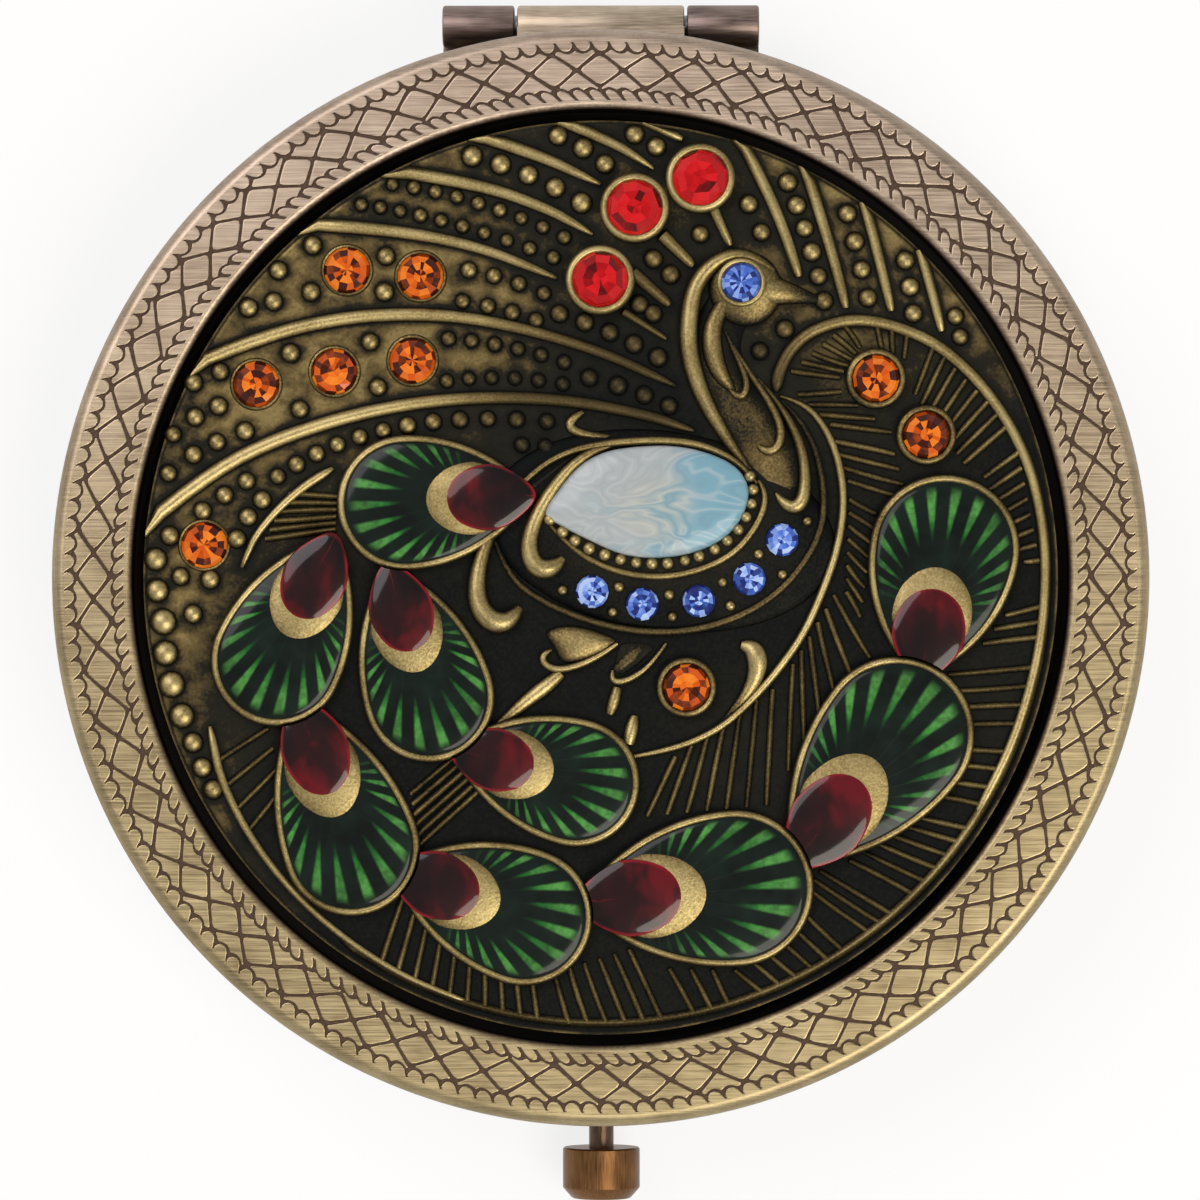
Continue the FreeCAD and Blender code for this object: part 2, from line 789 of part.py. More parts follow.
def medallion():
    walls, enamels, drops = feather_solids()
    red, red_seats = stones_of(RED_STONES, "red_stone_radius", "red_cup_height")
    flush, flush_seats = stones_of(AMBER_FLUSH, "amber_stone_radius", "0")
    amber, amber_seats = stones_of(AMBER_CUPS, "amber_stone_radius", "amber_cup_height")
    belly, belly_seats = stones_of(BELLY_STONES, "blue_stone_radius", "body_height")
    eye, eye_seats = stones_of([EYE], "eye_stone_radius", "head_height")

    thickness = value("plate_thickness")
    plate = Part.makeCylinder(value("plate_radius"), thickness, V(0, 0, value("recess_floor")))
    ridges = [prism(lens(*ridge), -WELD, value("ridge_height")) for ridge in RIDGES]
    ridges.append(prism(border_ridge(), -WELD, value("ridge_height")))
    relief = Part.makeCompound(ridges + bird())
    for feather in FEATHERS:
        relief = relief.cut(prism(face_of(teardrop(*feather, 0)), 0, 2 * thickness))
    cups = cups_of(RED_STONES, "red_stone_radius", "red_cup_height")
    cups += cups_of(AMBER_CUPS, "amber_stone_radius", "amber_cup_height")
    seats = red_seats + flush_seats + amber_seats + belly_seats + eye_seats
    cast = plate.multiFuse(relief.Solids + walls + cups)
    cast = cast.cut(Part.makeCompound(seats)).removeSplitter()
    feature("medallion", cast.Solids)
    feature("feather_enamel", enamels)
    feature("feather_drops", drops)
    feature("body_cabochon", [cabochon()])
    feature("red_stones", red)
    feature("amber_stones", flush + amber)
    feature("blue_stones", belly + eye)


def check_and_write():
    """Stops if anything failed to build, then writes one file for each node."""
    doc.recompute()
    failed = [o.Name for o in doc.Objects if {"Invalid", "Error"} & set(o.State)]
    bad = [n.Label for n in nodes if n.Shape.isNull() or not n.Shape.isValid()]
    if failed or bad:
        sys.exit(f"failed objects {failed}, bad shapes {bad}")
    os.makedirs("parts", exist_ok=True)
    for node in nodes:
        node.Shape.exportStep(os.path.join("parts", node.Label + ".step"))
        print(node.Label, len(node.Shape.Solids), round(node.Shape.Volume, 2))


base_shell()
base_bezel()
mirror("base_mirror", "base_bezel_bottom - mirror_thickness")
hinge_base_leaf()
hinge_pin()
latch_housing()
latch_spring()
button_stem()
button_knob()
latch_slide()
lid_shell()
lid_bezel()
mirror("lid_mirror", "lid_bezel_top")
hinge_lid_leaf()
lid_catch()
medallion()
check_and_write()
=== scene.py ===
import math
import random

import bmesh
import bpy
import numpy as np
from mathutils import Matrix, Vector


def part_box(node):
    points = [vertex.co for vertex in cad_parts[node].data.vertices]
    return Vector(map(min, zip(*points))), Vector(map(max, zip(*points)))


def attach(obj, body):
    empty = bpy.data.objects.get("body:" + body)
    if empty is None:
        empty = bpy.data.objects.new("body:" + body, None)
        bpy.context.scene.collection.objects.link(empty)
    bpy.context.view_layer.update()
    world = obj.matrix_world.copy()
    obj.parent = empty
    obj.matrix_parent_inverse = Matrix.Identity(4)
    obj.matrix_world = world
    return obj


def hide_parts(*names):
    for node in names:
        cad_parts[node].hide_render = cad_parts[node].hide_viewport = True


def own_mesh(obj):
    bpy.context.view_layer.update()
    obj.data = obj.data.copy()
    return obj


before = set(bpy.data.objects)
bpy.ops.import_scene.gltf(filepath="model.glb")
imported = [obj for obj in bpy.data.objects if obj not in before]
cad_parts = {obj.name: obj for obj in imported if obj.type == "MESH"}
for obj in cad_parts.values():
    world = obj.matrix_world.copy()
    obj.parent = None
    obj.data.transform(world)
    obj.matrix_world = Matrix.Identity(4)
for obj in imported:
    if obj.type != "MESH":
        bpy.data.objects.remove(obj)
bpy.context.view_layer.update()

# Looks of the round compact mirror. Lengths are in millimetres until a mesh is made.
MM = 0.001
random.seed(7)

# Places taken from the frame.
CASE_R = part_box("lid_shell")[1].x / MM
LID_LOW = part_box("lid_shell")[0].z / MM
LID_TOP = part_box("lid_shell")[1].z / MM
BASE_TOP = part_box("base_shell")[1].z / MM
PLATE_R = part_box("medallion")[1].x / MM
PLATE_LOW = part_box("medallion")[0].z / MM
PLATE_TOP = PLATE_LOW + 1.0
SEEN_R = PLATE_R - 0.15
WALL = 0.7
INNER_R = CASE_R - WALL
RECESS_R = CASE_R - 5.15
CEILING = PLATE_LOW - WALL
HINGE = Vector((0.0, 35.85, 6.6))
KNUCKLE_R = 1.35
HINGE_HALF, MIDDLE_HALF, OUTER_FROM = 10.25, 5.4, 5.6  # the hinge, its middle knuckle and its outer ones, along X
LEAF_FRONT, LEAF_THICK = 31.25, 0.55
NOTCH_HALF, NOTCH_BACK, NOTCH_LOW, NOTCH_TOP = 10.5, 40.0, 5.0, 8.2
BUTTON_Z = BASE_TOP / 2
STEM_HOLE_R = 0.86

# Engraved band of the ring.
BAND_IN, BAND_OUT, BAND_MID = 30.3, 34.16, 32.28
CUT_DEPTH = 0.1
UNITS, UNIT_DIAMONDS, UNIT_TEETH = 17, 4, 11


# Small helpers for meshes.

def link(obj):
    bpy.context.scene.collection.objects.link(obj)
    return obj


def mesh_object(name, corners, faces, wear=None):
    """An object from corners in millimetres, with an optional value on each corner of wear and painted light: rubbed
    places, painted shade and painted highlight.
    """
    mesh = bpy.data.meshes.new(name)
    mesh.from_pydata([Vector(c) * MM for c in corners], [], faces)
    if wear is not None:
        layer = mesh.attributes.new("wear", "FLOAT", "POINT")
        layer.data.foreach_set("value", [float(w) for w in wear])
    return link(bpy.data.objects.new(name, mesh))


def tidy_mesh(obj, smooth_angle=35.0):
    """Merges doubles, turns faces outwards and smooths all but the sharp edges."""
    bm = bmesh.new()
    bm.from_mesh(obj.data)
    bmesh.ops.remove_doubles(bm, verts=bm.verts, dist=1e-7)
    bmesh.ops.recalc_face_normals(bm, faces=bm.faces)
    bm.to_mesh(obj.data)
    bm.free()
    obj.data.shade_smooth()
    obj.data.set_sharp_from_angle(angle=math.radians(smooth_angle))
    return obj


def plain_mesh(obj, name):
    """The evaluated shape of an object as a new object with a mesh of its own."""
    deps = bpy.context.evaluated_depsgraph_get()
    mesh = bpy.data.meshes.new_from_object(obj.evaluated_get(deps), preserve_all_data_layers=True, depsgraph=deps)
    drop_object(obj)
    made = link(bpy.data.objects.new(name, mesh))
    mesh.name = name
    return made


def drop_object(obj):
    bpy.data.objects.remove(obj)


def joined(name, objs):
    """Several mesh objects as one."""
    bm = bmesh.new()
    materials = []
    for obj in objs:
        before = len(bm.faces)
        bm.from_mesh(obj.data)
        bm.faces.ensure_lookup_table()
        places = {}
        for i, material in enumerate(obj.data.materials):
            if material not in materials:
                materials.append(material)
            places[i] = materials.index(material)
        for face in bm.faces[before:]:
            face.material_index = places.get(face.material_index, 0)
    mesh = bpy.data.meshes.new(name)
    bm.to_mesh(mesh)
    bm.free()
    for material in materials:
        mesh.materials.append(material)
    for obj in objs:
        drop_object(obj)
    return link(bpy.data.objects.new(name, mesh))


def dress(obj, material, body, slot, *nodes):
    """Gives a finished piece its material and body, and hides the nodes that it stands for. Its slot is not used."""
    if material is not None:
        obj.data.materials.clear()
        obj.data.materials.append(material)
    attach(obj, body)
    if nodes:
        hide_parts(*nodes)
    return obj


def turned(name, profile, segments=256):
    """A closed solid of revolution about Z from points of a radius, a height and, where it matters, a value of wear
    and painted shade and highlight.
    """
    corners, wear, rows = [], [], []
    for radius, height, *worn in profile:
        count = 1 if radius == 0 else segments
        rows.append((len(corners), count))
        for i in range(count):
            turn = 2 * math.pi * i / segments
            corners.append((radius * math.cos(turn), radius * math.sin(turn), height))
        wear += (worn or [0.0]) * count
    faces = []
    for (a, na), (b, nb) in zip(rows, rows[1:] + rows[:1]):
        if na == 1 and nb == 1:
            continue
        for i in range(segments):
            j = (i + 1) % segments
            quad = [a + i % na, a + j % na, b + j % nb, b + i % nb]
            faces.append(list(dict.fromkeys(quad)))
    return mesh_object(name, corners, faces, wear)


def skin(first, rows, count):
    """Faces between rows of corners, each row a closed ring of count corners."""
    faces = []
    for at in range(first, first + (rows - 1) * count, count):
        for i in range(count):
            j = (i + 1) % count
            faces.append((at + i, at + j, at + count + j, at + count + i))
    return faces


def box_object(name, low, high):
    corners = [(x, y, z) for x in (low[0], high[0]) for y in (low[1], high[1]) for z in (low[2], high[2])]
    faces = [(0, 1, 3, 2), (4, 6, 7, 5), (0, 4, 5, 1), (2, 3, 7, 6), (0, 2, 6, 4), (1, 5, 7, 3)]
    return tidy_mesh(mesh_object(name, corners, faces))


def cut(obj, cutters):
    """obj less the cutters, which are removed."""
    name = obj.name
    for cutter in cutters:
        mod = obj.modifiers.new("cut", "BOOLEAN")
        mod.operation = "DIFFERENCE"
        mod.solver = "EXACT"
        mod.object = cutter
    made = plain_mesh(obj, name)
    for cutter in cutters:
        drop_object(cutter)
    return made


# Node trees that repeat a shape or sweep a path.

def new_tree(name, inputs):
    """An empty tree with a geometry input, named inputs and a geometry output."""
    tree = bpy.data.node_groups.new(name, "GeometryNodeTree")
    face = tree.interface
    face.new_socket("Geometry", in_out="INPUT", socket_type="NodeSocketGeometry")
    for label, kind in inputs.items():
        face.new_socket(label, in_out="INPUT", socket_type="NodeSocket" + kind)
    face.new_socket("Geometry", in_out="OUTPUT", socket_type="NodeSocketGeometry")
    return tree, tree.nodes.new("NodeGroupInput"), tree.nodes.new("NodeGroupOutput")


def add(tree, kind, links=None, **settings):
    """A node with settings, whose inputs take sockets or plain values."""
    node = tree.nodes.new(kind)
    for prop, setting in settings.items():
        setattr(node, prop, setting)
    for key, given in (links or {}).items():
        if isinstance(given, bpy.types.NodeSocket):
            tree.links.new(given, node.inputs[key])
        else:
            node.inputs[key].default_value = given
    return node


def close_tree(tree, end, geometry, material):
    solid = add(tree, "GeometryNodeRealizeInstances", {"Geometry": geometry})
    coat = add(tree, "GeometryNodeSetMaterial", {"Geometry": solid.outputs[0], "Material": material})
    tree.links.new(coat.outputs[0], end.inputs[0])
    return tree


def set_shape(tree, start, end, points, turn, **more):
    """Closes a tree that sets its shape on points, turned about Z."""
    spin = add(tree, "ShaderNodeCombineXYZ", {"Z": turn})
    shape = add(tree, "GeometryNodeObjectInfo", {"Object": start.outputs["Shape"]})
    given = {"Points": points, "Instance": shape.outputs["Geometry"], "Rotation": spin.outputs[0], **more}
    copies = add(tree, "GeometryNodeInstanceOnPoints", given)
    return close_tree(tree, end, copies.outputs[0], start.outputs["Finish"])


def ring_tree():
    """Repeats a shape drawn at the top of a ring all the way round it."""
    inputs = {"Shape": "Object", "Count": "Int", "Step": "Float", "Finish": "Material"}
    tree, start, end = new_tree("repeat_round_ring", inputs)
    spots = add(tree, "GeometryNodePoints", {"Count": start.outputs["Count"]})
    index = add(tree, "GeometryNodeInputIndex")
    turn = add(tree, "ShaderNodeMath", {0: index.outputs[0], 1: start.outputs["Step"]}, operation="MULTIPLY")
    return set_shape(tree, start, end, spots.outputs[0], turn.outputs[0])


def points_tree():
    """Sets a shape on every point, at the point's own size and turn."""
    tree, start, end = new_tree("set_on_points", {"Shape": "Object", "Finish": "Material"})
    size = add(tree, "GeometryNodeInputNamedAttribute", {"Name": "size"}, data_type="FLOAT")
    turn = add(tree, "GeometryNodeInputNamedAttribute", {"Name": "turn"}, data_type="FLOAT")
    return set_shape(tree, start, end, start.outputs["Geometry"], turn.outputs[0], Scale=size.outputs[0])


def sweep_tree():
    """Sweeps a rounded section along every path, as wide as the path's radius says."""
    tree, start, end = new_tree("sweep_along_path", {"Rise": "Float", "Corners": "Int", "Finish": "Material"})
    upright = add(tree, "GeometryNodeSetCurveNormal", {"Curve": start.outputs["Geometry"]}, mode="Z_UP")
    ring = add(tree, "GeometryNodeCurvePrimitiveCircle", {"Resolution": start.outputs["Corners"], "Radius": 1.0})
    shape = add(tree, "ShaderNodeCombineXYZ", {"X": 1.0, "Y": start.outputs["Rise"], "Z": 1.0})
    section = add(tree, "GeometryNodeTransform", {"Geometry": ring.outputs["Curve"], "Scale": shape.outputs[0]})
    width = add(tree, "GeometryNodeInputRadius").outputs[0]
    given = {"Curve": upright.outputs[0], "Profile Curve": section.outputs[0], "Scale": width, "Fill Caps": True}
    tube = add(tree, "GeometryNodeCurveToMesh", given)
    return close_tree(tree, end, tube.outputs[0], start.outputs["Finish"])


RING_TREE, POINTS_TREE, SWEEP_TREE = ring_tree(), points_tree(), sweep_tree()


def grown(obj, tree, name, settings):
    """Runs a tree on an object and returns the result as a plain mesh object."""
    mod = obj.modifiers.new("grow", "NODES")
    mod.node_group = tree
    for item in tree.interface.items_tree:
        if item.item_type == "SOCKET" and item.in_out == "INPUT" and item.name in settings:
            mod[item.identifier] = settings[item.name]
    return plain_mesh(obj, name)


def round_ring(name, shape, count, material):
    """A shape repeated round the ring. The shape is kept."""
    seed = mesh_object(name + "_seed", [], [])
    step = 2 * math.pi / count
    return grown(seed, RING_TREE, name, {"Shape": shape, "Count": count, "Step": step, "Finish": material})


def set_on(name, shape, spots, material):
    """A shape on every spot (x, y, z, size, turn), in millimetres and radians. The shape is removed."""
    seed = mesh_object(name + "_seed", [s[:3] for s in spots], [])
    for label, place in (("size", 3), ("turn", 4)):
        layer = seed.data.attributes.new(label, "FLOAT", "POINT")
        layer.data.foreach_set("value", [s[place] for s in spots])
    made = grown(seed, POINTS_TREE, name, {"Shape": shape, "Finish": material})
    drop_object(shape)
    return made


def swept(name, paths, rise, material, corners=10):
    """Sweeps paths, each a list of (x, y, z, radius) and whether it is smooth and closed."""
    data = bpy.data.curves.new(name + "_paths", "CURVE")
    data.dimensions = "3D"
    data.resolution_u = 5
    for spots, smooth, closed in paths:
        line = data.splines.new("NURBS" if smooth else "POLY")
        line.points.add(len(spots) - 1)
        for point, (x, y, z, radius) in zip(line.points, spots):
            point.co = (x * MM, y * MM, z * MM, 1)
            point.radius = radius * MM
        line.use_cyclic_u = closed
        if smooth:
            line.order_u = 3
            line.use_endpoint_u = not closed
    obj = link(bpy.data.objects.new(name + "_paths", data))
    made = grown(obj, SWEEP_TREE, name, {"Rise": rise, "Corners": corners, "Finish": material})
    return tidy_mesh(made, 60)


# Finishes.

def tone(red, green, blue):
    """A colour as it is seen, 0 to 255, as the linear colour that a shader takes."""
    shades = [c / 255 for c in (red, green, blue)]
    return tuple(c / 12.92 if c <= 0.04045 else ((c + 0.055) / 1.055) ** 2.4 for c in shades) + (1.0,)


class Finish:
    """A procedural material under construction, with helpers for its nodes."""

    def __init__(self, name, **shader):
        self.material = bpy.data.materials.new(name)
        self.material.use_nodes = True
        self.tree = self.material.node_tree
        self.shader = self.tree.nodes["Principled BSDF"]
        self.place = add(self.tree, "ShaderNodeTexCoord").outputs["Object"]
        for label, setting in shader.items():
            self.shader.inputs[label.replace("_", " ")].default_value = setting

    def noise(self, size, detail=4.0, wander=0.0, turn=0.0):
        """Cloudy noise whose features have the given size, one length or three, in millimetres."""
        sizes = size if isinstance(size, tuple) else (size, size, size)
        spread = add(
            self.tree,
            "ShaderNodeMapping",
            {"Vector": self.place, "Rotation": (0, 0, turn), "Scale": tuple(1 / (s * MM) for s in sizes)},
        )
        cloud = add(
            self.tree,
            "ShaderNodeTexNoise",
            {"Vector": spread.outputs[0], "Scale": 1.0, "Detail": detail, "Distortion": wander},
        )
        return cloud.outputs[0]

    def attribute(self, name):
        return add(self.tree, "ShaderNodeAttribute", attribute_name=name).outputs["Fac"]

    def across(self):
        """The two values of the piece's own map."""
        flat = add(self.tree, "ShaderNodeUVMap")
        parts = add(self.tree, "ShaderNodeSeparateXYZ", {0: flat.outputs[0]})
        return parts.outputs["X"], parts.outputs["Y"]

    def along(self, axis):
        """The place along X, Y or Z."""
        return add(self.tree, "ShaderNodeSeparateXYZ", {0: self.place}).outputs[axis]

    def distance(self, x, y):
        """Distance across the lid from a place in millimetres."""
        flat = add(self.tree, "ShaderNodeVectorMath", {0: self.place, 1: (1, 1, 0)}, operation="MULTIPLY")
        given = {0: flat.outputs[0], 1: (x * MM, y * MM, 0)}
        return add(self.tree, "ShaderNodeVectorMath", given, operation="DISTANCE").outputs["Value"]

    def math(self, operation, *values, clamp=False):
        given = dict(enumerate(values))
        return add(self.tree, "ShaderNodeMath", given, operation=operation, use_clamp=clamp).outputs[0]

    def plus(self, first, second):
        return self.math("ADD", first, second)

    def times(self, first, second):
        return self.math("MULTIPLY", first, second)

    def swing(self, noise, share):
        """A noise as a change to either side of none."""
        return self.times(self.math("SUBTRACT", noise, 0.5), share)

    def span(self, given, low, high, out_low=0.0, out_high=1.0):
        """given, moved smoothly from one span of values to another."""
        values = {"Value": given, 1: low, 2: high, 3: out_low, 4: out_high}
        return add(self.tree, "ShaderNodeMapRange", values, interpolation_type="SMOOTHSTEP").outputs[0]

    def ramp(self, given, stops):
        node = add(self.tree, "ShaderNodeValToRGB", {"Fac": given})
        points = node.color_ramp.elements
        while len(points) < len(stops):
            points.new(0.5)
        for point, (place, colour) in zip(points, stops):
            point.position, point.color = place, colour
        return node.outputs[0]

    def mix(self, share, first, second):
        given = {0: share, 6: first, 7: second}
        return add(self.tree, "ShaderNodeMix", given, data_type="RGBA").outputs[2]

    def set(self, **sockets):
        for label, socket in sockets.items():
            self.tree.links.new(socket, self.shader.inputs[label.replace("_", " ")])
        return self

    def bump(self, height, depth, strength=0.6):
        """Fine relief of the given depth in millimetres."""
        given = {"Height": height, "Strength": strength, "Distance": depth * MM}
        return self.set(Normal=add(self.tree, "ShaderNodeBump", given).outputs[0])


GROOVE = tone(78, 61, 51)
# Near black: painted shade on the wall of the recess round the medallion.
PAINTED_RECESS_SHADE = tone(14, 11, 9)
# Rubbed edges of the engraving, painted light, partly as a highlight.
RUBBED_EDGE_HIGHLIGHT = tone(214, 196, 162)
RAY_PITCH = math.radians(12.0)  # of the bright rays under the enamel


def brushed_brass(name, dull, bright, engraved):
    """Brass brushed along X. Engraved pieces are also brushed round their side and painted greyer towards the hinge, a
    painted change of light across the case. Their wear value tells the dark cuts from the rubbed edges, which are
    partly a painted highlight, darkens the side as painted shade and paints the recess wall near black as shade."""
    f = Finish(name, Metallic=0.9)
    streaks = f.noise((3.5, 0.07, 3.5), 3.0)
    if engraved:
        side = f.span(f.distance(0, 0), 34.3 * MM, 34.95 * MM)
        round_side = f.times(f.noise((4.0, 4.0, 0.06), 3.0), side)
        streaks = f.plus(round_side, f.times(streaks, f.math("SUBTRACT", 1.0, side)))
    mixed = f.plus(f.times(streaks, 0.68), f.times(f.noise(3.0, 3.0), 0.42))
    colour = f.ramp(mixed, [(0.36, dull), (0.74, bright)])
    rough = f.span(streaks, 0.3, 0.7, 0.34, 0.48)
    if engraved:
        # Greyer towards the hinge: a painted change of light across the case.
        painted_light_grey = f.ramp(mixed, [(0.36, tone(145, 127, 111)), (0.74, tone(196, 178, 160))])
        colour = f.mix(f.span(f.along("Y"), -14 * MM, 33 * MM), colour, painted_light_grey)
        wear = f.plus(f.attribute("wear"), f.span(f.noise(0.25, 2.0), 0.25, 0.75, -0.06, 0.06))
        # Rubbed edges, painted light, partly as a highlight.
        colour = f.mix(f.span(wear, 0.68, 1.0, 0.0, 0.7), colour, RUBBED_EDGE_HIGHLIGHT)
        colour = f.mix(f.span(wear, 0.05, 0.55), GROOVE, colour)
        # Painted shade: where the value is below zero, the recess wall goes near black.
        colour = f.mix(f.span(wear, -0.35, -0.08), PAINTED_RECESS_SHADE, colour)
        rough = f.math("MAXIMUM", rough, f.span(wear, 0.05, 0.64, 0.62, 0.32))
    f.set(Base_Color=colour, Roughness=rough)
    return f.bump(streaks, 0.012).material


PATINA = [
    (0.0, tone(10, 13, 13)),
    (0.3, tone(34, 32, 25)),
    (0.58, tone(96, 82, 52)),
    (0.8, tone(138, 122, 80)),
    (1.0, tone(172, 155, 108)),
]


def patina(f, worn, metal, rough, grain, depth):
    """Ends a cast finish: the more a place is worn, the brighter, more metallic and smoother it is."""
    f.set(
        Base_Color=f.ramp(worn, PATINA),
        Metallic=f.span(worn, 0.1, 0.6, metal, 0.95),
        Roughness=f.span(worn, 0.1, 0.9, rough, 0.42),
    )
    return f.bump(grain, depth).material


def cast_brass(name, low, high, shaded=False, patchy=0.5):
    """Cast brass that is dark low down and rubbed bright high up. shaded keeps the middle of the lid dark."""
    f = Finish(name, Specular_IOR_Level=0.12)
    grain = f.noise(0.16, 3.0)
    lift = f.span(f.along("Z"), (PLATE_TOP + low) * MM, (PLATE_TOP + high) * MM, 0.02, 0.92)
    worn = f.plus(lift, f.swing(f.noise(3.2, 3.0), patchy))
    worn = f.plus(worn, f.swing(grain, 0.6))
    if shaded:
        worn = f.times(worn, f.span(f.distance(5.0, 5.0), 9 * MM, 21 * MM, 0.5, 1.0))
    return patina(f, worn, 0.55, 0.56, grain, 0.03)


def cast_field(name):
    """The medallion's ground: dark patina, rubbed where the plate's wear value says so, and darkened by painted shade
    round the foot of what stands on it.
    """
    f = Finish(name, Specular_IOR_Level=0.12)
    grain = f.noise(0.2, 3.0)
    cloud = f.noise((2.2, 1.4, 2.0), 4.0, 0.4)
    worn = f.times(f.attribute("wear"), f.span(cloud, 0.3, 0.62, 0.6, 1.0))
    return patina(f, f.plus(worn, f.swing(grain, 0.3)), 0.5, 0.58, grain, 0.04)


def green_enamel(name):
    """Clear dark enamel over bright rays. Across the map run the ray's number and the way out."""
    f = Finish(name, Coat_Weight=0.32, Coat_Roughness=0.09, Roughness=0.4, Specular_IOR_Level=0.06)
    ray, out = f.across()
    whole = f.math("FLOOR", f.plus(ray, 0.5))
    side = f.math("ABSOLUTE", f.math("SUBTRACT", ray, whole))
    half = f.span(out, 0.45, 0.95, 0.08, 0.2)
    stripe = f.span(f.math("SUBTRACT", half, side), -0.07, 0.08)
    reach = f.times(f.span(out, 0.5, 0.72), f.span(out, 0.97, 0.88))
    fan = f.span(f.math("ABSOLUTE", ray), 7.6, 4.6)
    cloud = f.noise(2.4, 3.0)
    fleck = f.span(f.noise(0.35, 3.0), 0.25, 0.7, 0.55, 1.1)
    share = f.times(f.times(stripe, reach), f.times(fan, f.span(cloud, 0.3, 0.62, 0.45, 1.0)))
    share = f.math("MULTIPLY", share, fleck, clamp=True)
    greens = [(0.5, tone(19, 76, 30)), (0.8, tone(39, 117, 45)), (1.0, tone(80, 145, 70))]
    glow = f.ramp(f.plus(out, f.times(cloud, 0.3)), greens)
    deep = f.ramp(f.noise(1.8, 3.0), [(0.35, tone(6, 13, 10)), (0.7, tone(16, 30, 23))])
    f.set(Base_Color=f.mix(share, deep, glow))
    return f.bump(stripe, 0.03, 0.3).material


def red_enamel(name):
    """Dark garnet enamel with a brighter edge here and there."""
    f = Finish(name, Coat_Weight=0.5, Coat_Roughness=0.07, Roughness=0.4, Specular_IOR_Level=0.08)
    ray, out = f.across()
    ahead = f.times(f.math("COSINE", f.times(ray, RAY_PITCH)), out)
    depth = f.plus(f.times(ahead, 0.3), f.noise((1.8, 3.0, 2.0), 2.0, 0.4))
    deep = f.ramp(depth, [(0.3, tone(16, 4, 6)), (0.54, tone(38, 6, 10)), (0.84, tone(92, 10, 20))])
    rim = f.times(f.span(out, 0.88, 1.0), f.span(f.noise(2.5, 2.0), 0.34, 0.55))
    return f.set(Base_Color=f.mix(rim, deep, tone(140, 18, 32))).material


def pearl_finish(name):
    """Stirred white, cream and pale blue pearl under a clear coat."""
    f = Finish(name, Coat_Weight=0.35, Coat_Roughness=0.08, Roughness=0.35, Specular_IOR_Level=0.2)
    flow = f.noise((7.0, 3.4, 3.0), 2.0, 1.4, 0.3)
    lines = f.math("PINGPONG", f.times(flow, 8.0), 0.5)
    to_right = f.span(f.along("X"), -3.0 * MM, 9.0 * MM, -0.28, 0.24)
    blue = f.span(f.plus(flow, to_right), 0.36, 0.74)
    colour = f.mix(blue, tone(163, 170, 173), tone(116, 158, 176))
    cream = f.times(f.span(f.distance(3.6, 4.4), 3.2 * MM, 1.2 * MM), f.span(lines, 0.0, 0.5, 0.2, 0.75))
    colour = f.mix(cream, colour, tone(176, 176, 165))
    thread = f.times(f.span(lines, 0.2, 0.0), f.span(blue, 0.0, 1.0, 0.14, 0.3))
    colour = f.mix(thread, colour, tone(104, 134, 150))
    f.set(Base_Color=f.mix(f.span(lines, 0.28, 0.5, 0.0, 0.4), colour, tone(182, 190, 193)))
    return f.bump(flow, 0.02, 0.15).material


def stone_finish(name, dark, middle, bright):
    """Foil-backed cut glass: each facet is painted its own brightness, a painted reflection of the foil and the room.
    """
    f = Finish(name, Coat_Weight=0.4, Coat_Roughness=0.03, Roughness=0.25, Specular_IOR_Level=0.12)
    depth = f.plus(f.attribute("wear"), f.swing(f.noise(0.5, 2.0), 0.3))
    return f.set(Base_Color=f.ramp(depth, [(0.12, dark), (0.5, middle), (0.95, bright)])).material


def plain_metal(name, dull, bright, size, rough):
    """Metal with a soft change of shade and fine marks of the given size."""
    f = Finish(name, Metallic=0.95)
    marks = f.noise(size, 4.0)
    mixed = f.plus(f.times(marks, 0.6), f.times(f.noise(2.5, 2.0), 0.4))
    f.set(Base_Color=f.ramp(mixed, [(0.35, dull), (0.66, bright)]), Roughness=f.span(marks, 0.25, 0.75, *rough))
    return f.bump(marks, 0.015).material


def mirror_finish(name):
    """Silvered glass with the faintest haze."""
    f = Finish(name, Metallic=1.0)
    haze = f.noise(9.0, 5.0, 0.8)
    f.set(
        Base_Color=f.ramp(haze, [(0.3, tone(236, 239, 241)), (0.7, tone(243, 245, 246))]),
        Roughness=f.span(haze, 0.3, 0.75, 0.008, 0.016),
    )
    return f.material


CASE = brushed_brass("case_brass", tone(125, 110, 81), tone(186, 169, 130), True)
BEZEL = brushed_brass("bezel_brass", tone(150, 132, 96), tone(204, 184, 136), False)
MIRROR = mirror_finish("mirror_silver")
LONG_MARKS = (1.6, 0.08, 0.08)  # of metal brushed along X
HINGE_DARK = plain_metal("hinge_dark_bronze", tone(100, 86, 80), tone(152, 134, 126), LONG_MARKS, (0.34, 0.48))
HINGE_BRIGHT = plain_metal("hinge_bright_brass", tone(150, 133, 115), tone(206, 190, 167), LONG_MARKS, (0.38, 0.52))
STEEL = plain_metal("latch_steel", tone(120, 120, 122), tone(168, 168, 170), (0.1, 1.2, 1.2), (0.28, 0.4))
COPPER = plain_metal("button_copper", tone(90, 62, 35), tone(135, 96, 60), (0.09, 1.4, 0.09), (0.3, 0.44))
STEM = plain_metal("stem_bronze", tone(58, 45, 40), tone(112, 90, 74), (0.09, 1.0, 0.09), (0.3, 0.42))
FIELD = cast_field("medallion_ground")
RIDGE = cast_brass("ridge_brass", -0.02, 0.36, True)
BIRD = cast_brass("bird_brass", 0.15, 1.08)
RIM = cast_brass("feather_rim_brass", 0.2, 1.0, patchy=0.9)
MOON = cast_brass("crescent_brass", 0.45, 1.15)
GRAIN = cast_brass("grain_brass", 0.3, 0.9)
SCROLL = cast_brass("scroll_brass", 0.0, 0.5)
